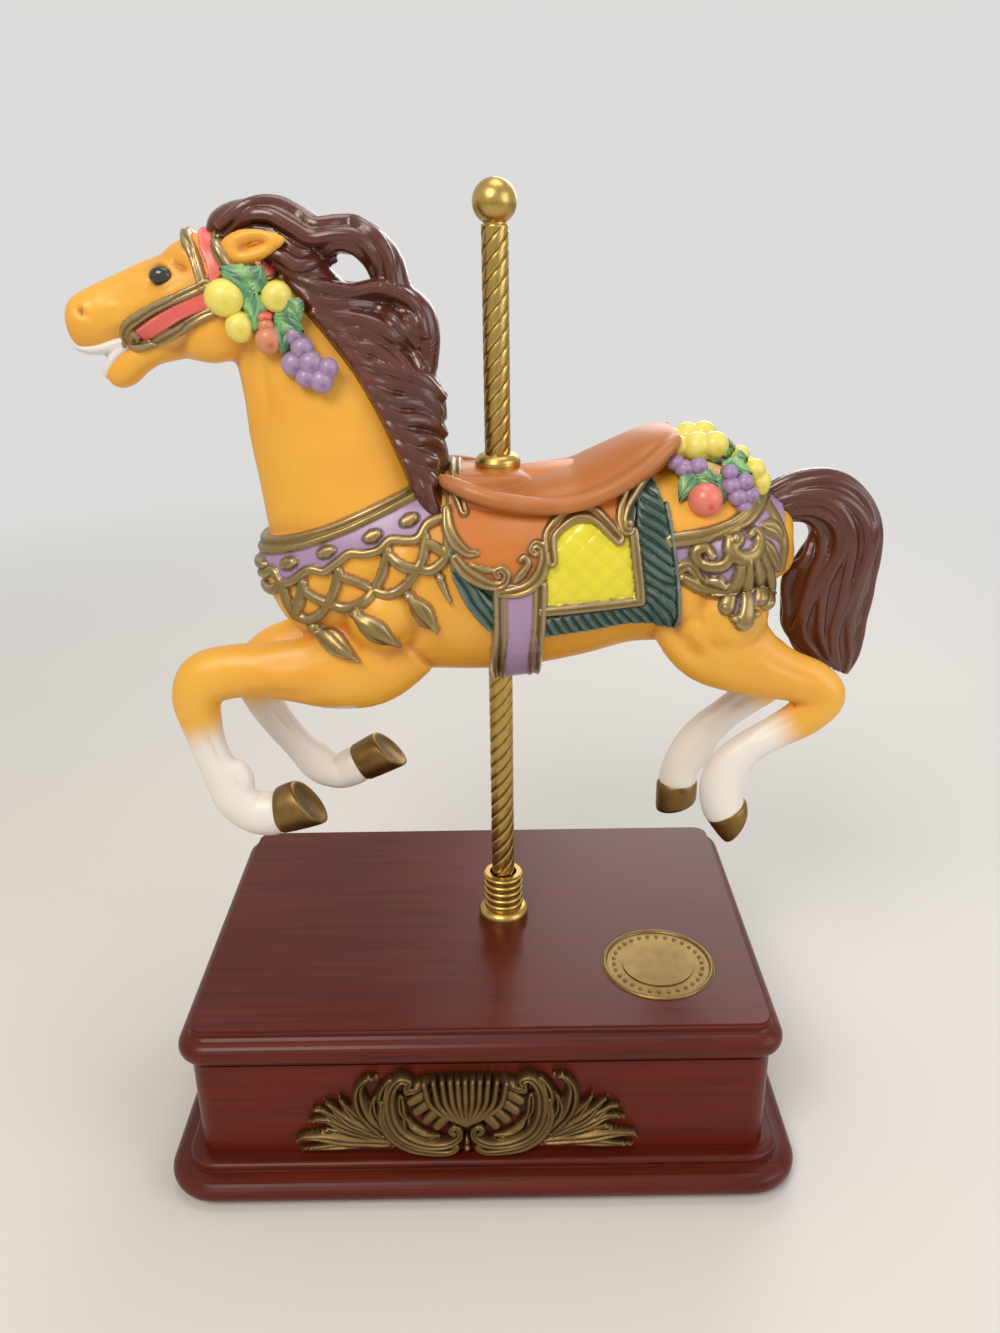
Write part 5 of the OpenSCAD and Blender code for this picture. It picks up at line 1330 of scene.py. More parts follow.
def tail_strand(share: float, turn: float) -> list[Point]:
    """Draws a swaying strand at a share of the way from the tail's inside edge to its outside edge."""
    path = []
    for i, (inner, outer) in enumerate(zip(TAIL_INSIDE, TAIL_OUTSIDE)):
        at = share + 0.055 * math.sin(turn + 0.62 * i)
        path.append((inner[0] + at * (outer[0] - inner[0]), inner[1] + at * (outer[1] - inner[1])))
    return path


TAIL = Hair("tail_hair", [
    [(84, 0, 211, 3.6, 3.6), (90, 0, 212.8, 4.2, 4.4), (96, 0, 213.8, 5.2, 4.8), (104, 0, 214.6, 6.6, 5.6),
     (111.4, 0, 212.6, 8.4, 6.4), (117, 0, 206, 9.6, 7), (117.2, 0, 198, 10.6, 7), (114.6, 0, 189, 12.8, 6.8),
     (112.8, 0, 179, 12.8, 6.2), (114.8, 0, 169.4, 11.8, 5.2), (119.2, 0, 162.4, 6.6, 3.8),
     (121.4, 0, 156.6, 1.6, 1.8)]],
    [tail_strand(0.045 + 0.13 * i, 1.9 * i) for i in range(8)], thick=1.95)


# ---- relief pieces on the coat

SUNK = 0.9  # how far a skin lies below the coat where nothing is raised
GILT_SPREAD = 1.22
SKIN_THICKNESS = 0.5


def trimmed(name: str, mesh: Mesh) -> Piece:
    """Cuts away faces that are sunk at every corner and gives the rest a thickness."""
    bm = bmesh.new()
    bm.from_mesh(mesh)
    layer = bm.verts.layers.float["height"]
    bmesh.ops.delete(bm, geom=[f for f in bm.faces if all(v[layer] < 0 for v in f.verts)], context="FACES")
    bmesh.ops.delete(bm, geom=[v for v in bm.verts if not v.link_faces], context="VERTS")
    bm.to_mesh(mesh)
    bm.free()
    piece = placed(name, mesh)
    shell = piece.modifiers.new("thickness", "SOLIDIFY")
    shell.thickness = SKIN_THICKNESS
    shell.offset = -1
    apply_modifiers(piece)
    return piece


@dataclass
class Skin:
    """A raised and painted skin that follows the coat; its features are drawn in side view."""

    name: str
    features: list[Feature]
    low: Point
    high: Point

    def build(self, coat: Piece) -> Piece:
        """Lifts a copy of the coat under the features and cuts away what stays bare.

        Args:
            coat: The cast coat, in millimetres.

        Returns:
            The skin, in millimetres.
        """
        bm = bmesh.new()
        bm.from_mesh(coat.data)
        away = [v for v in bm.verts
                if not (self.low[0] < v.co.x < self.high[0] and self.low[1] < v.co.z < self.high[1])]
        bmesh.ops.delete(bm, geom=away, context="VERTS")
        bmesh.ops.subdivide_edges(bm, edges=bm.edges, cuts=1, use_grid_fill=True)
        bmesh.ops.smooth_vert(bm, verts=bm.verts, factor=0.5, use_axis_x=True, use_axis_y=True,
                              use_axis_z=True)
        mesh = poured(bm, self.name)
        spots, out = places(mesh), normals(mesh)
        relief = raise_features(spots[:, [0, 2]], self.features, SUNK, Paint.COAT)
        move(mesh, spots + out * relief.height[:, None])
        relief.keep(mesh)
        return trimmed(self.name, mesh)


def gold(path: Rows, width: float | Sequence[float], height: float, **extra: float) -> Ribbon:
    """A gilded rib along a path."""
    drawn = (width,) if isinstance(width, (int, float)) else tuple(width)
    return Ribbon(Paint.GILT, height, 1.0, path=path, width=tuple(GILT_SPREAD * half for half in drawn),
                  **extra)


def stud(centre: Point, size: Point, height: float) -> Bead:
    """A gilded bead."""
    return Bead(Paint.GILT, height, 1.0, centre=centre, size=size)


def tassel(cap: Point, tip: Point) -> list[Feature]:
    """A tassel of three long leaves that hang from a bead."""
    drop = np.subtract(tip, cap)
    long = float(np.linalg.norm(drop))
    way = drop / long
    side = np.array([-way[1], way[0]])
    root = np.array(cap) + 0.8 * way
    parts = []
    for offset, wide, high in ((-1.5, 1.3, 2.9), (1.5, 1.3, 2.9), (0.0, 1.6, 3.5)):
        bulge = root + 0.45 * long * way + offset * 1.25 * side
        end = np.array(tip) - abs(offset) * 0.9 * way + 0.2 * offset * side
        parts.append(gold([root + 0.35 * offset * side, bulge, end], (0.8, wide, wide, 0.9, 0.5), high))
    return [*parts, stud(cap, (2.3, 2.0), 3.3)]


def breast_collar() -> Skin:
    """The collar: a gold band, a studded lavender band, a gold net and three leaf tassels."""
    top = [(-70, 202.6), (-60.4, 204.9), (-50.8, 207.5), (-40.3, 211.2), (-30, 215.5), (-21.3, 219.2),
           (-12.9, 222.7)]
    scallop = [(-70, 196.4), (-65.6, 195.2), (-62.4, 196.8), (-59.9, 198.2), (-57.9, 195.4), (-54.6, 195.4),
               (-51.5, 197.8), (-48.1, 199.8), (-44.1, 199.3), (-40.3, 201.8), (-36.1, 204.7), (-32.1, 204.6),
               (-27.7, 205.6), (-24, 208.4), (-19.6, 208.2), (-15.9, 208.8), (-13, 212.6), (-8, 214.4)]
    # Knots of the net.
    low, second, third, fourth, last = (
        (-54.4, 184.5), (-43.7, 189.4), (-29.5, 193.4), (-16.7, 200.1), (-7.5, 204))
    net = [[(-57.6, 194.7), (-56.4, 188.8), low], [(-50.9, 195.6), (-52.3, 190.4), low],
           [low, (-50.7, 183.7), (-46.9, 185.4), second], [(-51.7, 194), (-48.1, 191.3), second],
           [second, (-41.3, 194.1), (-39.7, 199.6)], [(-39.7, 198.3), (-34.6, 196.1), third],
           [second, (-38.6, 188.2), (-33.3, 189.9), third],
           [third, (-26.7, 199.2), (-24.8, 205.6)], [(-24.8, 204.6), (-21.1, 201.6), fourth],
           [third, (-24.3, 192.7), (-19.8, 195.5), fourth],
           [fourth, (-14.5, 204), (-13.7, 209.5)], [(-13.7, 207.8), (-10.8, 206.3), last],
           [fourth, (-12.3, 199.8), (-9, 202.1), last], [last, (-7.1, 208.6), (-7.5, 214.6)],
           [(-57.6, 194.7), (-61.4, 191.6), (-65.4, 191.6), (-69, 194)]]
    features = [Plate(Paint.LAVENDER, 1.2, outline=[*top, (-7, 214.6), *reversed(scallop)], edge=0.7)]
    features += [gold(top, 2.1, 2.6, groove=0.3), gold(scallop, 1.2, 2.4)]
    features += [gold(line, (1.3, 1.5, 1.3), 2.2) for line in net]
    for centre in ((-64.6, 198.6), (-54.6, 201), (-43, 204.9), (-29.2, 209.5), (-18.4, 213.6)):
        spine = [(centre[0] - 1.5, centre[1] - 0.6), centre, (centre[0] + 1.5, centre[1] + 0.6)]
        features.append(gold(spine, (1.2, 1.7, 1.2), 3.0))
    for cap, tip in (((-49, 181.4), (-35.4, 171.4)), ((-34.5, 186.7), (-23.4, 178)),
                     ((-19.1, 192), (-10.9, 181))):
        features += tassel(cap, tip)
    features += [stud((-9.7, 197.5), (1.7, 1.7), 2.6),
                 gold([(-9.4, 196.4), (-8.4, 193.6), (-6.8, 190.1)], (1.2, 0.9, 0.5), 2.1)]
    return Skin("breast_collar_relief", features, (-75, 166), (-4, 227))


BLANKET = [(-8, 226), (-7, 202.6), (-6, 197), (-2.4, 188.8), (2, 182.8), (6.7, 179), (22.6, 178.6),
           (36.8, 180.6), (46.6, 182.3), (54.6, 182.2), (62, 180.6), (60.6, 195), (58.5, 208.5), (57, 217.3),
           (53.6, 226), (49, 233), (0, 236)]
FRINGE_INNER = [(49, 222), (48.2, 210), (50.3, 200.3), (51.3, 189.2), (36.5, 187.4), (22.4, 185.4),
                (7.3, 189), (2.8, 193.6), (-2, 200), (-4, 206)]


def blanket() -> Skin:
    """The blanket: slanting dark cords round its edge and a gilt frame round a yellow quilt."""
    patch = [(21.4, 187), (21.6, 204), (24, 209), (28, 212.6), (34, 213.6), (40, 212.4), (44, 209.6),
             (48.6, 208.6), (50.4, 190)]
    features = [
        Plate(Paint.FRINGE, 0.9, outline=BLANKET, edge=0.5),
        Plate(Paint.FRINGE, 2.7, outline=[*BLANKET[:15], *FRINGE_INNER], edge=0.9, pattern=Cords()),
        Ribbon(Paint.FRINGE, 2.7, path=[(62.2, 181), (60.9, 195), (58.9, 208.5), (57.4, 217.3)],
               width=(0.7 * GILT_SPREAD,)),
        # The quilt takes only a little painted shade in its seams.
        Plate(Paint.QUILT, 1.8, wash=0.15, outline=patch, edge=0.6, pattern=Quilting())]
    for side in ([(20.6, 187.3), (28, 187.9), (36.4, 188.7), (43.5, 189.4), (50.2, 190.2)],
                 [(50.2, 190.2), (49.5, 196), (48.8, 200.3), (48.2, 205), (47.6, 210)]):
        # The gilt frame takes only a little painted shade.
        features.append(gold(side, 1.5, 3.6, groove=0.18, wash=0.3))
    return Skin("blanket_relief", features, (-12, 174), (66, 232))


def saddle_flaps() -> Skin:
    """The saddle's flaps: tan paint edged with gilt scrolls and an arch."""
    flap = [(-7.4, 228), (-6.8, 222.6), (-7.6, 213.1), (-5.4, 206), (-4, 201), (1.7, 196.4), (8.4, 194),
            (16.6, 196), (20.6, 201.4), (22.6, 207.2), (27, 212), (32.3, 214.2), (37.8, 212.8), (43.6, 209),
            (45.4, 212), (46.1, 218), (53.3, 226.4), (56, 232), (0, 236)]
    features = [
        Plate(Paint.SADDLE, 2.9, outline=flap, edge=0.8),
        gold([(-5.4, 225), (-4.4, 220.4), (-2.4, 215)], (1.7, 2.3, 1.4), 4.6, groove=0.2),
        gold([(-7.4, 215.4), (-6.9, 211.4), (-5, 207.6), (-1.4, 204.6), (1.4, 204.4)],
             (1.3, 1.82, 1.95, 1.69, 0.91), 4.2, groove=0.15),
        gold([(-5, 203), (-2.4, 199.8), (1.7, 197.1), (5.6, 195.6), (8.6, 195.8), (10.2, 198), (9, 200),
              (7, 199.4), (7.6, 198)], (1.56, 2.08, 2.08, 1.82, 1.43, 1.17, 0.91), 4.4, groove=0.2),
        gold([(0, 201.4), (3.6, 200), (6.4, 199.8)], (0.65, 1.3, 0.91), 3.8),
        gold([(8, 193.2), (12.6, 193.6), (16.6, 195), (19.6, 198), (21.2, 202), (21, 205.6), (19, 206.8),
              (17.6, 205.2), (18.8, 204.2)], (1.3, 2.08, 2.21, 2.08, 1.69, 1.3, 0.91), 4.4, groove=0.2),
        gold([(12.6, 196.8), (15.2, 199.4), (16.6, 201.8), (15.6, 203.4), (14.2, 202.6)],
             (0.91, 1.43, 1.3, 1.04, 0.78), 4.2),
        gold([(23.5, 202), (22.8, 208), (24.6, 211), (28.4, 213.8), (32.3, 214.9), (37, 213.8),
              (43.2, 208.2)], (1.69, 2.21, 2.34, 2.34, 2.08, 1.82), 4.4, groove=0.3),
        stud((46.6, 212.2), (1.6, 1.6), 4.4),
        gold([(46.8, 210), (44.8, 210.6), (44.2, 213.6), (45.6, 217.4), (48.8, 221.6), (53.8, 226.6)],
             (1.04, 1.69, 1.95, 2.08, 2.08, 1.56), 4.4, groove=0.25)]
    return Skin("saddle_flap_relief", features, (-11, 190), (60, 234))


def girth() -> Skin:
    """The girth strap: lavender between two gilt edges."""
    features = [
        Plate(Paint.LAVENDER, 3.1, outline=[(8, 196), (7.8, 157), (18.8, 157), (20, 197)], edge=0.6),
        gold([(8.2, 193.6), (8.2, 181), (7.4, 170.8), (7.4, 157)], 2.2, 4.0, groove=0.3),
        gold([(20, 195), (19.6, 183), (18.4, 171.4), (18.2, 157)], 2.2, 4.0, groove=0.3)]
    return Skin("girth_relief", features, (3, 156), (24, 197))


def crupper() -> Skin:
    """The crupper: a gilt band, scrolls and a fan of shell ribs on a lavender field."""
    outline = [(59, 208), (68, 209.4), (76.6, 212), (84.8, 216), (90, 219), (95, 214), (93.4, 203),
               (92.4, 197), (90.6, 190), (88.6, 186.4), (84.4, 187), (80.3, 183), (76.4, 187.6),
               (77.4, 192.4), (71.6, 192.4), (65.4, 195.4), (61.6, 198), (59.4, 204)]
    features = [
        Plate(Paint.LAVENDER, 1.2, outline=outline, edge=0.6),
        gold([(58.6, 207.6), (67.1, 208.7), (74.8, 210.3), (79.8, 212.3), (84, 215.4), (87.6, 218.6),
              (91, 220)], (2.05, 2.05, 2.18, 2.56, 3.33), 2.8, groove=0.2),
        gold([(71.4, 203), (70.4, 204.5), (68.4, 205.6), (66, 204.4), (66.8, 202), (70.2, 200.4),
              (73.8, 200.9), (75.6, 202.9), (76.4, 205.4), (78, 207.4)],
             (1.02, 1.41, 1.79, 1.79, 1.66, 1.54, 1.28, 1.66), 3.0),
        gold([(75.7, 207), (75.9, 204.8), (78.3, 202.8), (81.4, 202.7), (83.7, 204.4), (84.3, 207),
              (83, 209.1), (81.6, 208.2)], (1.54, 1.79, 1.92, 1.79, 1.41, 1.02), 3.2),
        gold([(60.6, 199.2), (63.2, 200.4), (65.4, 199.2), (67.5, 196.8), (69.8, 195), (72.4, 194.8)],
             (1.66, 1.66, 1.54, 1.28), 2.6, groove=0.2),
        gold([(62.4, 196.6), (65.1, 195), (68.3, 193.5), (71.6, 192.3), (74.9, 192.4), (77.2, 194.2),
              (78.4, 197), (78.7, 200.4)], (1.66, 1.92, 2.3, 2.43, 2.05, 1.54, 1.15), 3.0),
        gold([(70.6, 196.4), (72.6, 196.4), (75, 195.2)], (1.02, 1.41, 0.9), 3.3),
        gold([(79, 200.6), (78.2, 195.6), (77, 191), (75.8, 187.6)], (0.77, 1.28, 1.54, 2.05), 3.0),
        gold([(80.6, 201.6), (80.8, 195), (81.2, 188), (80.4, 183.6)], (0.9, 1.54, 1.66, 2.3), 3.4),
        gold([(82.6, 201.6), (85.2, 195.4), (86.4, 188.8)], (0.9, 1.54, 1.79, 1.92), 3.2),
        gold([(84.6, 203), (88, 197.6), (89.8, 192), (89, 186.8)], (0.9, 1.41, 1.66, 1.92), 3.0),
        Leaf(Paint.GILT, 2.8, 1.0, path=[(85.6, 206.4), (89.4, 201.2), (92.2, 195.6)], width=3.0,
             root=0.4, fold=0.2),
        Leaf(Paint.GILT, 2.8, 1.0, path=[(86, 210.4), (89.8, 208.6), (93, 204.6)], width=3.0,
             root=0.4, fold=0.2),
        gold([(88.6, 214.6), (91.6, 209.4), (93.4, 203.6), (93, 197)], (1.28, 1.54, 1.15), 2.2)]
    features += [stud(centre, (1.6, 1.4), 3.4) for centre in
                 ((75.6, 187.4), (78, 184.6), (80.6, 182.8), (83.6, 185.2), (86.4, 188.4), (89, 186.4))]
    features.append(stud((77, 207.3), (1.7, 1.6), 4.0))
    return Skin("crupper_relief", features, (55, 178), (104, 222))


def bridle() -> Skin:
    """The bridle: coral straps between gilt edges, with a bit ring at the mouth's corner."""
    features = [
        Plate(Paint.CORAL, 1.7, outline=[
            (-95.4, 268.8), (-87.8, 272.4), (-80.6, 275.6), (-72, 279), (-71.4, 274.2), (-80.4, 271),
            (-86.8, 267.8), (-93.4, 264.9)], edge=0.5),
        gold([(-72.6, 280.2), (-77.7, 278.1), (-85.4, 275.3), (-92.1, 272.4), (-97, 269.7), (-98.8, 267.3),
              (-98.5, 264.8), (-96.5, 263.3), (-93.2, 263.8), (-87.3, 266.1), (-79.5, 269.3),
              (-71.8, 273)], 1.35, 2.5, groove=0.22),
        gold([(-97.2, 266.4), (-96.2, 267.8), (-95, 266.9), (-95.8, 265.5)], (0.9, 0.8), 2.6),
        Plate(Paint.CORAL, 1.4, outline=[
            (-76, 300), (-75.4, 293.6), (-74.3, 289), (-72.7, 285.5), (-71.6, 279.6), (-67, 283.4),
            (-69.4, 288.4), (-71, 294), (-71.8, 300)], edge=0.5),
        gold([(-79.6, 299), (-78.8, 292.6), (-76.8, 289.5), (-75.3, 286.3), (-74.5, 283.4), (-73.6, 279.6)],
             1.35, 2.5, groove=0.22),
        gold([(-70.8, 299), (-70.4, 293.4), (-68.7, 289.6), (-66.2, 285)], 1.35, 2.5, groove=0.22),
        Plate(Paint.CORAL, 1.8, outline=[(-59, 281.4), (-52.4, 282.4), (-53, 286.8), (-59, 286)], edge=0.6),
        gold([(-59, 280.8), (-52, 281.8)], 0.9, 2.0),
        Plate(Paint.CORAL, 2.4, outline=[
            (-60.4, 269.6), (-54, 269.6), (-54.2, 272.8), (-57.3, 273.6), (-60.4, 272.2)], edge=0.9)]
    return Skin("bridle_relief", features, (-104, 258), (-48, 301))


# ---- saddle seat and fruit

@dataclass
class Saddle:
    """The seat: a flat pommel block, a crowned seat with a thin rolled edge and a high cantle."""

    seat: Rows = (
        (-8, 0, 219.4, 3, 13), (-3, 0, 218.6, 5, 18), (8, 0, 217.6, 5.6, 20.4), (15, 0, 217.6, 6.4, 21.6),
        (20, 0, 218.4, 6.9, 22), (26, 0, 218.7, 7.7, 22), (33, 0, 220, 7.7, 21.6), (40, 0, 223, 7.8, 20.8),
        (46, 0, 226, 7.6, 19.8), (52, 0, 229.6, 6.8, 18.2), (57, 0, 232.6, 5.6, 15.8),
        (60.4, 0, 234.6, 3.9, 13), (62.2, 0, 235.6, 2, 10))
    block: Rows = (
        (-10.2, 0, 221, 3.6, 10.4), (-9.2, 0, 220.6, 5.4, 12.4), (-4, 0, 220, 6.3, 13.6),
        (4, 0, 219.7, 6.5, 14), (12, 0, 219.7, 6.5, 13.6), (16.4, 0, 219, 5.9, 12.6),
        (19.6, 0, 217.4, 4.4, 10.4))
    roll: Rows = (
        (-9.2, -11.6, 224.8, 1.7), (-6.4, -16, 224.4, 2.3), (-1, -19.6, 222.8, 2.6), (5, -21.2, 221, 2.7),
        (13, -22, 219.4, 2.7), (23, -22.3, 218.4, 2.6), (33.6, -21.8, 220, 2.6), (44, -20.6, 224.3, 2.6),
        (52, -18.2, 229.2, 2.5), (58, -14.8, 233.8, 2.2), (61.2, -10.6, 235.8, 1.6))

    def build(self) -> Piece:
        """Casts the seat with its block and its rolls, and paints it a deeper tan than the flaps."""
        casting = Casting(loft(spline(self.seat), 48, 2.2), loft(spline(self.block), 48, 5.0))
        casting.press_both(lambda side: tube([on_side(row, side) for row in self.roll],
                                             [row[3] for row in self.roll], 16))
        piece = casting.cast("saddle_seat", 0.62, 6)
        count = len(piece.data.vertices)
        keep_colour(piece.data, np.tile(linear(Paint.SEAT.value), (count, 1)))
        keep_number(piece.data, "gilt", np.zeros(count))
        # The seat takes full painted shade in its creases.
        keep_number(piece.data, "wash", np.ones(count))
        return piece


@dataclass
class Fruit:
    """One kind of fruit: each is a place and half sizes, on the near side."""

    name: str
    finish: str
    spots: list[tuple[Point, Point]]
    dimple: float = 0.34  # the dimple's width, as a share of the least half size
    depth: float = 0.16  # and how deep it goes, as a share of the way to the middle
    stands_for: tuple[str, ...] = ()

    def build(self) -> Piece:
        """Makes the fruit on both sides, each with a dimple where its stalk was."""
        casting = Casting()
        for centre, size in self.spots:
            for side in (NEAR, FAR):
                x, y, z = on_side(centre, side)
                lump = ball((x, y, z), size, 28)
                stalk = Vector((x + size[0] * 0.25, y + side * size[1] * 0.9, z - size[2] * 0.35))
                for vert in lump.verts:
                    gap = (vert.co - stalk).length / (min(size) * self.dimple)
                    vert.co += (Vector((x, y, z)) - vert.co) * self.depth * math.exp(-gap ** 2)
                casting.press(lump)
        return casting.plain(self.name)


FRUIT = [
    Fruit("lemons", "lemon_paint", [
        ((-67.8, -12.4, 276.8), (5.7, 5, 5.2)), ((-64.4, -11.6, 269), (4.2, 4.4, 4.5)),
        ((-53.2, -12, 276.8), (4.4, 4.2, 4.4)), ((67.4, -8.6, 232.6), (4.6, 4.4, 4.6)),
        ((72.4, -9.4, 233.4), (4.2, 4, 4)), ((62.2, -7, 232), (4, 4.4, 3.8)),
        ((86.4, -9.6, 222), (3.6, 3.8, 4.4)), ((84.6, -10.6, 226), (3.2, 3.6, 3.4))],
        stands_for=("fruit_garlands",)),
    Fruit("grapes", "grape_paint", [
        ((-49, -12.6, 266.4), (2.9, 2.9, 2.9)), ((-47, -13.2, 263), (3.4, 3.3, 3.3)),
        ((-49.8, -12.8, 258.6), (3.8, 3.4, 3.7)), ((-44.8, -14, 259), (3.6, 3.4, 3.5)),
        ((-46.4, -14.2, 255), (3.1, 3, 3)), ((-42, -14.4, 254), (3.5, 3.3, 3.6)),
        ((-39.8, -14.6, 257.6), (2.9, 2.8, 3)), ((63, -14, 227.4), (3, 3, 2.6)),
        ((67, -14.6, 228.2), (2.8, 2.8, 2.5)), ((60.4, -12.6, 229), (2.7, 2.8, 2.4)),
        ((76.6, -16.6, 222.8), (2.9, 2.9, 2.7)), ((80.6, -15.8, 223.6), (2.8, 2.8, 2.6)),
        ((78.6, -16.8, 219.4), (3, 2.9, 2.8)), ((82.6, -15.6, 219.6), (2.8, 2.7, 2.6)),
        ((80.8, -16.4, 216), (2.6, 2.6, 2.5)), ((76, -16.4, 226.6), (2.5, 2.6, 2.3))]),
    Fruit("apples", "apple_paint", [((68.8, -18.6, 219), (5.2, 4.8, 5)),
                                    ((-57, -12.4, 271.6), (2.6, 2.6, 1.6))]),
    Fruit("pears", "pear_paint", [((-56.4, -12.2, 265.2), (4, 3.9, 4.2)),
                                  ((-56.8, -12, 269), (2.7, 2.9, 2.8))])]


@dataclass
class Foliage:
    """Leaves of the garlands: root, tip and half width of each, on the near side."""

    leaves: tuple[tuple[Point, Point, float], ...] = (
        ((-58, -12.4, 279), (-68, -12.8, 285), 4.4), ((-60, -12.6, 280), (-56, -13, 285), 3.8),
        ((-59, -12.8, 278), (-60, -13, 268.6), 3.4), ((-54, -12.6, 272), (-46, -14, 268), 4.2),
        ((-50, -13, 276), (-46.8, -13.6, 271), 3.6), ((-52, -12.8, 270), (-52.6, -13, 262.4), 3.4),
        ((66, -15, 226), (61, -18.4, 219.8), 3.4), ((74, -14.6, 226), (74.6, -16.6, 219), 3.4),
        ((74, -13.4, 228), (83, -13.4, 226), 3.6), ((66, -15, 225.6), (72.6, -15.8, 224), 3.2),
        ((78, -10.6, 229), (82.6, -8.4, 229.6), 3), ((84, -14.6, 216), (87.6, -12.6, 216.6), 2.6))

    def leaf(self, root: Vector, tip: Vector, wide: float) -> Lump:
        """Makes one cupped leaf with a notched edge and a sunk midrib."""
        bm = bmesh.new()
        bmesh.ops.create_grid(bm, x_segments=18, y_segments=14, size=1)
        along = tip - root
        out = Vector((0, math.copysign(1, root.y), 0))
        across = along.cross(out).normalized()
        for vert in bm.verts:
            run, side = (vert.co.x + 1) / 2, vert.co.y
            notches = 0.86 + 0.14 * abs(math.cos(run * 5 * math.pi))
            shape = math.sin(math.pi * min(1, 0.06 + 0.94 * run) ** 0.8) * notches
            midrib = 0.7 * math.exp(-(side / 0.14) ** 2)
            lift = 1.5 - 1.4 * side ** 2 - midrib + 0.25 * math.cos(run * 9 + abs(side) * 4)
            vert.co = root + along * run + across * side * wide * shape + out * lift
        bmesh.ops.solidify(bm, geom=bm.faces, thickness=1.2)
        bmesh.ops.recalc_face_normals(bm, faces=bm.faces)
        return bm

    def build(self) -> Piece:
        """Makes the leaves on both sides, each painted in its own green."""
        casting = Casting()
        for root, tip, wide in self.leaves:
            for side in (NEAR, FAR):
                casting.press(self.leaf(Vector(on_side(root, side)), Vector(on_side(tip, side)), wide))
        piece = casting.plain("leaves")
        spots = places(piece.data)
        blend = (0.5 + 0.5 * np.sin(spots[:, 0] * 0.9 + spots[:, 2] * 0.6))[:, None]
        light, dark = np.array(linear(Paint.LEAF.value)), np.array(linear(Paint.LEAF_DARK.value))
        keep_colour(piece.data, light * blend + dark * (1 - blend))
        return piece


# ---- fittings

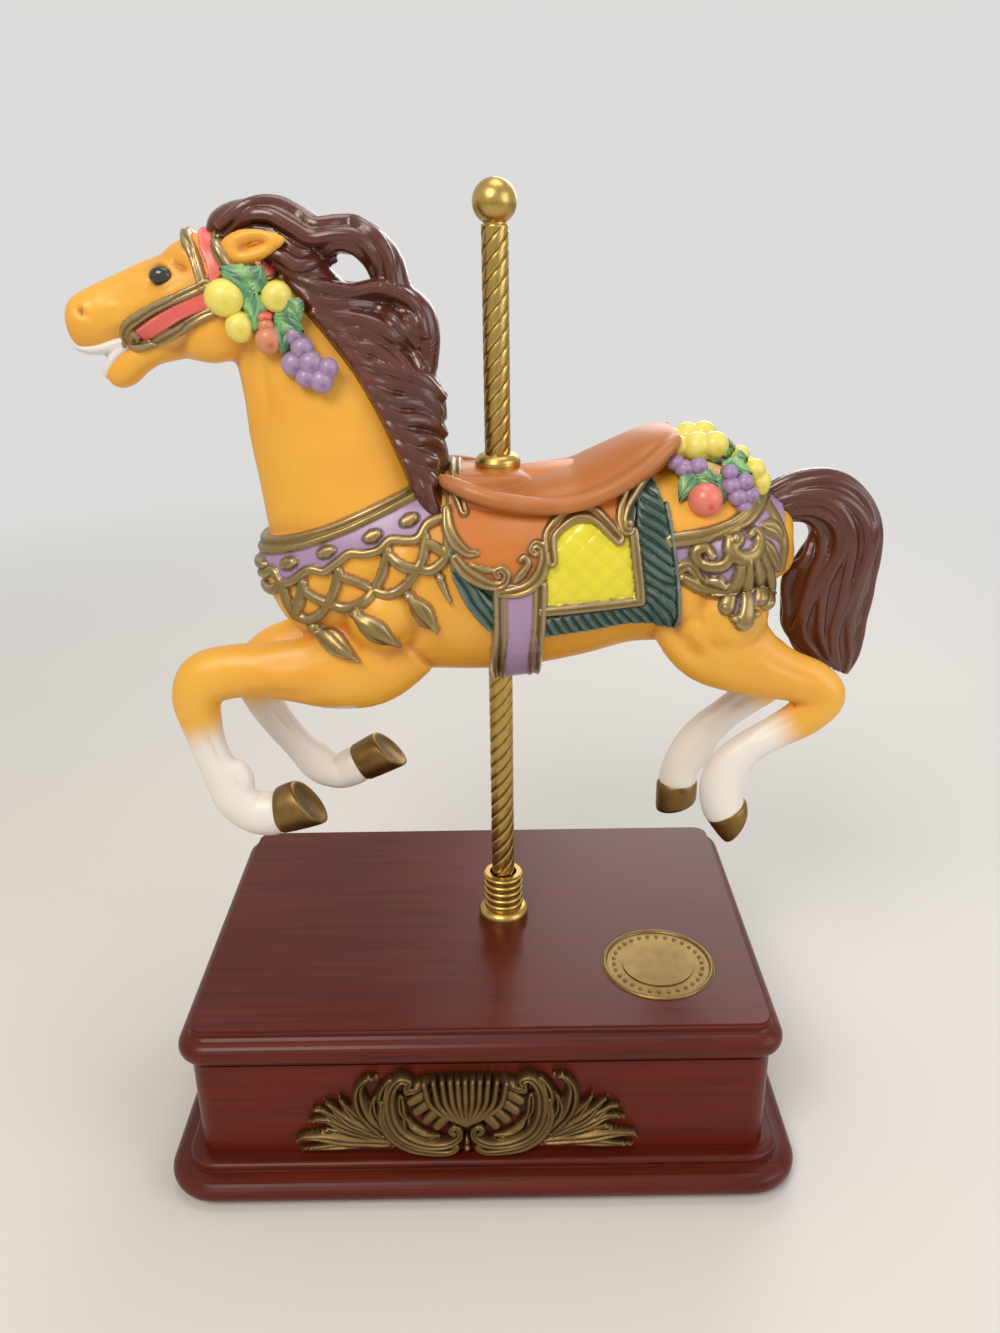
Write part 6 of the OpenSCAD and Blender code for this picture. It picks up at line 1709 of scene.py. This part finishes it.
@dataclass
class Ornament:
    """The cast ornament on the front wall: a shell between two scrolls and sprays of acanthus."""

    centre: Point = (-5.0, 30.75)
    wall_y: float = -61.0
    half_w: float = 58.0
    half_h: float = 17.1
    step: float = 0.3
    sunk: float = 0.8
    flutes: int = 11

    def spray(self) -> list[Feature]:
        """Gives the acanthus on the right: long fingers that overlap, each folded along its rib."""
        fingers = [
            (3.0, 2.0, [(24, -13.6), (31.4, -13), (36, -15)]),
            (3.5, 2.8, [(25.4, -13), (37, -12.2), (47.3, -13.4), (55, -14.6)]),
            (4.5, 3.5, [(25.6, -12), (36.3, -10.4), (46.6, -8.6), (53.6, -9), (56, -12.4)]),
            (3.4, 2.4, [(28, -11), (37, -8.4), (43.4, -6.4), (48.4, -7)]),
            (4.2, 3.0, [(28.4, -10), (37, -6), (45, -1.6), (51.6, -2.6)]),
            (3.9, 3.0, [(28.6, -9.4), (39, -3.2), (46, 2), (50.4, 1.8)]),
            (4.4, 2.9, [(28.4, -8.6), (37.6, -1.8), (43.4, 4.2), (46, 5.6)]),
            (3.7, 2.8, [(28, -7.6), (35, -1), (39.6, 5.2), (40.6, 8.4)]),
            (4.9, 3.5, [(27, -8), (32.4, 0.4), (34, 9.4), (31.4, 14.6), (27.4, 15)]),
            (3.9, 2.4, [(27.6, -5), (30, 2.6), (28.4, 9)]),
            (4.4, 2.8, [(25.6, -1), (26.6, 7.6), (24.4, 13.6), (21.2, 14.8)])]
        return [Leaf(Paint.GILT, high, 1.0, path=path, width=1.15 * wide, veins=2, lobes=2,
                     root=0.5, fold=0.4) for high, wide, path in fingers]

    def scrolls(self) -> list[Feature]:
        """Gives the right scroll with its shelf of scallops and the fold below it."""
        ribs = [((12.6, 13), (18.4, 9.8)), ((12, 9.6), (17.4, 5.4)), ((10.6, 6), (15.8, 1.4)),
                ((8.4, 2.8), (12.8, -2.2)), ((5.6, 0.2), (9.4, -4.6))]
        parts = [
            Leaf(Paint.GILT, 3.2, 1.0, path=[(20, -1), (18.4, -6.4), (13.6, -9.4), (7.4, -9.4)], width=3.2,
                 veins=3),
            Leaf(Paint.GILT, 2.9, 1.0, path=[(21, 6), (20.4, 0), (17.6, -4.6)], width=2.4, root=0.6)]
        parts += [gold([one, two], (1.5, 1.8, 1.6), 3.7) for one, two in ribs]
        parts += [
            gold([(26.4, 6), (26.9, -1.4), (24, -8.6), (18.4, -13.4), (12, -15.2), (6.4, -15.4), (3.4, -13.8),
                  (3.9, -12.4), (5.4, -12.6)], (0.9, 1.6, 2.1, 1.9, 1.5, 1.1, 0.8), 4.2, groove=0.12),
            gold([(15.4, 11.8), (17.2, 10.8), (18.6, 12.2), (17.8, 14.2), (20.8, 14.8), (23.6, 10.2),
                  (24.3, 3.2), (23, -3.6), (19.6, -8.6), (13.6, -11.6), (7.2, -11.8), (2.7, -9), (2.2, -5.6),
                  (3.8, -4.2), (5.2, -5.8), (4, -7)],
                 (0.9, 1.2, 1.5, 1.9, 2.0, 2.0, 1.9, 1.6, 1.3, 0.9, 0.8), 4.9, groove=0.2)]
        return parts

    def features(self) -> list[Feature]:
        """Gives the right half mirrored onto the left, with the shell between them."""
        features = []
        for feature in [*self.spray(), *self.scrolls()]:
            features += [feature, replace(feature, path=np.array(feature.path) * np.array([-1, 1]))]
        middle = (self.flutes - 1) / 2
        for i in range(self.flutes):
            turn = math.radians((i - middle) * 7.6)
            long = 17.4 + 0.15 * (i - middle) ** 2
            tip = (long * math.sin(turn), long * math.cos(turn) - 3)
            features.append(gold([(0, -3), (0.8 * tip[0], 0.42 * (tip[1] + 3) - 3), tip],
                                 (0.5, 1.0, 1.1, 0.95), 5.0))
        return [*features, stud((0, -11.4), (1.3, 2.4), 3.6), stud((0, -14.6), (1.6, 1.5), 3.2)]

    def build(self) -> Piece:
        """Raises the features on a flat sheet and closes its back."""
        bm = bmesh.new()
        bmesh.ops.create_grid(bm, x_segments=int(2 * self.half_w / self.step),
                              y_segments=int(2 * self.half_h / self.step), size=1)
        for vert in bm.verts:
            vert.co = (vert.co.x * self.half_w, 0, vert.co.y * self.half_h)
        mesh = poured(bm, "front_ornament_casting")
        spots = places(mesh)
        height = raise_features(spots[:, [0, 2]], self.features(), self.sunk, Paint.GILT).height
        spots[:, 1] = self.wall_y - height
        spots[:, 0] += self.centre[0]
        spots[:, 2] += self.centre[1]
        move(mesh, spots)
        keep_number(mesh, "height", height)
        return trimmed("front_ornament_casting", mesh)


@dataclass
class Pole:
    """The twisted brass tube: five rounded starts that climb to the right."""

    x: float = 8.0
    radius: float = 3.95
    starts: int = 5
    lead: float = 24.5
    groove: float = 0.42
    sides: int = 60
    step: float = 0.55

    def build(self, name: str, low: float, high: float) -> Piece:
        """Makes one run of the pole.

        Args:
            name: Name of the run.
            low: Height of its lower end.
            high: Height of its upper end.

        Returns:
            The run, in millimetres.
        """
        bm = bmesh.new()
        bmesh.ops.create_circle(bm, cap_ends=False, radius=1, segments=self.sides)
        edges = list(bm.edges)
        rings = int((high - low) / self.step)
        for vert in bm.verts:
            vert.co.z = low
        for ring in range(1, rings + 1):
            made = bmesh.ops.extrude_edge_only(bm, edges=edges)["geom"]
            fresh = {g for g in made if isinstance(g, bmesh.types.BMVert)}
            edges = [g for g in made
                     if isinstance(g, bmesh.types.BMEdge) and all(v in fresh for v in g.verts)]
            for vert in fresh:
                vert.co.z = low + (high - low) * ring / rings
        for vert in bm.verts:
            angle = math.atan2(vert.co.y, vert.co.x)
            phase = self.starts * (angle - 2 * math.pi * (vert.co.z - low) / self.lead)
            size = self.radius - self.groove * max(0.0, -math.cos(phase)) ** 6
            vert.co.x, vert.co.y = self.x + size * math.cos(angle), size * math.sin(angle)
        bmesh.ops.holes_fill(bm, edges=bm.edges, sides=self.sides)
        bmesh.ops.recalc_face_normals(bm, faces=bm.faces)
        return placed(name, poured(bm, name))


@dataclass
class Case:
    """The case and the movement: CAD nodes that keep their shape and take a finish."""

    nodes: dict[str, tuple[str, ...]] = field(default_factory=lambda: {
        "cherry_lacquer_long": ("top_board", "plinth_front", "plinth_back"),
        "cherry_lacquer_short": ("plinth_left", "plinth_right"),
        "cherry_panel_long": ("front_wall", "back_wall"),
        "cherry_panel_short": ("left_wall", "right_wall"),
        "bare_board": ("corner_blocks", "bottom_board"),
        "foot_rubber": ("foot_pads",),
        "struck_brass": ("medallion",),
        "satin_brass": ("pole_collar", "ball_finial", "saddle_ferrule"),
        "machined_brass": ("board_screws", "collar_nut", "great_wheel", "spring_drum", "pinned_cylinder",
                           "cam_wheel"),
        "cast_zinc": ("bedplate", "bearing_brackets", "governor_frame", "guide_arm"),
        "turned_steel": ("bedplate_screws", "ratchet_click", "comb", "comb_screws", "cam_post", "guide_rod",
                         "winding_arbor", "ratchet_wheel", "winding_key", "cylinder_arbor", "pole_rod"),
        "blued_spring": ("mainspring",),
        "moulded_acetal": ("governor_worm", "lift_cam", "cam_follower")})

    def dress(self, bench: Bench) -> None:
        """Dresses every CAD node that shows."""
        for finish, nodes in self.nodes.items():
            for node in nodes:
                bench.dress(bench.nodes[node], finish)
            LOG.info("%s: %s", finish, ", ".join(nodes))


# ---- studio

@dataclass
class Studio:
    """The camera, the lamps, the floor and the backdrop."""

    eye: Point = (0.0073, -0.333, 0.2936)
    pitch: float = 68.08
    yaw: float = -0.09
    roll: float = -0.77
    focal: float = 29.36
    backdrop: str = "F1F0EE"
    seen: float = 0.82  # the room's strength to the camera and in reflections
    unseen: float = 0.36  # and on matt surfaces
    target: Point = (0.0, 0.0, 0.17)
    # The lamps: place, width, watts and tint.
    lamps: dict[str, tuple[Point, float, float, str]] = field(default_factory=lambda: {
        "key": ((-0.35, -0.75, 0.95), 0.5, 7.2, "FFF6EA"), "fill": ((0.8, -0.5, 0.5), 0.6, 2.8, "F2F5FF"),
        "top": ((0.1, 0.1, 1.1), 0.5, 2.4, "FFFAF2"), "back": ((0.3, 0.9, 0.6), 0.6, 3.0, "FFFFFF")})

    def camera(self) -> None:
        """Sets the camera at the viewing angle."""
        lens = bpy.data.cameras.new("camera")
        lens.sensor_width = 36
        lens.lens = self.focal
        lens.clip_start = 0.01
        body = placed("camera", lens)
        turn = (Matrix.Rotation(math.radians(self.yaw), 4, "Z")
                @ Matrix.Rotation(math.radians(self.pitch), 4, "X")
                @ Matrix.Rotation(math.radians(self.roll), 4, "Z"))
        body.matrix_world = Matrix.Translation(self.eye) @ turn
        bpy.context.scene.camera = body

    def hang(self, name: str, place: Point, size: float, watts: float, tint: str) -> None:
        """Hangs one square soft box that points at the target."""
        light = bpy.data.lights.new(name, "AREA")
        light.size = size
        light.energy = watts
        light.color = linear(tint)[:3]
        piece = placed(name, light)
        piece.location = place
        piece.rotation_euler = (Vector(self.target) - Vector(place)).to_track_quat("-Z", "Y").to_euler()

    def room(self) -> None:
        """Lays a pale floor and fills the world with a soft light that shows white behind the object."""
        bm = bmesh.new()
        bmesh.ops.create_grid(bm, x_segments=1, y_segments=1, size=3)
        floor = placed("floor", poured(bm, "floor"))
        floor.data.materials.append(FloorPaint("pale_floor", self.backdrop, self.seen).material())
        world = bpy.data.worlds.new("room")
        bpy.context.scene.world = world
        world.use_nodes = True
        tree = world.node_tree
        tree.nodes.clear()
        path, camera_ray = add(tree, Kind.RAY)
        seen = (path, camera_ray)
        for ray in ("Is Glossy Ray", "Is Transmission Ray"):
            seen = add(tree, Kind.GREATER, seen, (path, ray))
        strength = add(tree, Kind.SPAN, seen, 0.0, 1.0, self.unseen, self.seen)
        add(tree, Kind.WORLD, add(tree, Kind.SKY, linear(self.backdrop), strength))

    def build(self) -> None:
        """Sets up the whole studio."""
        bpy.context.scene.view_settings.view_transform = "Standard"
        self.camera()
        self.room()
        for name, lamp in self.lamps.items():
            self.hang(name, *lamp)


# ---- the whole box

def dress_horse(bench: Bench) -> None:
    """Builds the horse with its hair, saddlery and fruit."""
    coat = Horse().build()
    skins = [(breast_collar(), "painted_strap_relief", "gold_trim", ("breast_collar",)),
             (blanket(), "painted_blanket_relief", "green_fringe", ("saddle_blanket",)),
             (saddle_flaps(), "satin_saddle_paint", "tan_saddle", ()),
             (girth(), "painted_strap_relief", "lavender_strap", ("girth_strap",)),
             (crupper(), "painted_strap_relief", "gold_trim", ("crupper",)),
             (bridle(), "painted_bridle_relief", "coral_bridle", ("bridle",))]
    for skin, finish, slot, nodes in skins:
        bench.finish(skin.build(coat), Body.RIDER, finish, slot, nodes, wide=3, deep=0.3)
    hooves = Casting(*(hoof.build() for hoof in HOOVES))
    bench.finish(hooves.plain("hooves"), Body.RIDER, "gilt_hoof_paint", "gold_trim")
    eyes = Casting(*(ball((-85.9, side * 8.7, 282.6), (3.3, 2.1, 2.5), 40) for side in (NEAR, FAR)))
    bench.finish(eyes.plain("eyes"), Body.RIDER, "eye_glaze", "brown_hair")
    teeth = Casting(*(loft(spline(rows, 5), 20) for rows in (TEETH, LIP))).cast("teeth", 0.5, 3)
    bench.finish(teeth, Body.RIDER, "tooth_bisque", "palomino_coat")
    for hair, node in ((MANE, "mane"), (TAIL, "tail")):
        bench.finish(hair.build(), Body.RIDER, "glazed_brown_hair", "brown_hair", (node,), wide=4, deep=0.5)
    bench.finish(Saddle().build(), Body.RIDER, "satin_saddle_paint", "tan_saddle", ("saddle",), wide=6,
                 deep=0.5)
    for fruit in FRUIT:
        bench.finish(fruit.build(), Body.RIDER, fruit.finish, "painted_fruit", fruit.stands_for)
    bench.finish(Foliage().build(), Body.RIDER, "leaf_paint", "painted_fruit")
    bench.finish(coat, Body.RIDER, "airbrushed_bisque", "palomino_coat",
                 ("horse_body", "left_foreleg", "right_foreleg", "left_hindleg", "right_hindleg", "ears"),
                 wide=7, deep=0.6)


def dress_fittings(bench: Bench) -> None:
    """Builds the ornament and the two runs of the pole."""
    bench.finish(Ornament().build(), Body.CASE, "antique_bronze", "bronze_carving", ("front_ornament",))
    for name, node in (("lower_pole_twist", "lower_pole"), ("upper_pole_twist", "upper_pole")):
        low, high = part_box(node)
        piece = Pole().build(name, low.z / METRES, high.z / METRES)
        bench.finish(piece, Body.RIDER, "satin_brass", "satin_brass", (node,), wide=3, deep=0.25)


def main() -> None:
    """Builds and dresses the music box."""
    logging.basicConfig(level=logging.INFO, format="%(message)s")
    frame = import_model()
    Studio().build()
    bench = Bench(frame["nodes"])
    Case().dress(bench)
    dress_fittings(bench)
    dress_horse(bench)


if __name__ == "__main__":
    main()
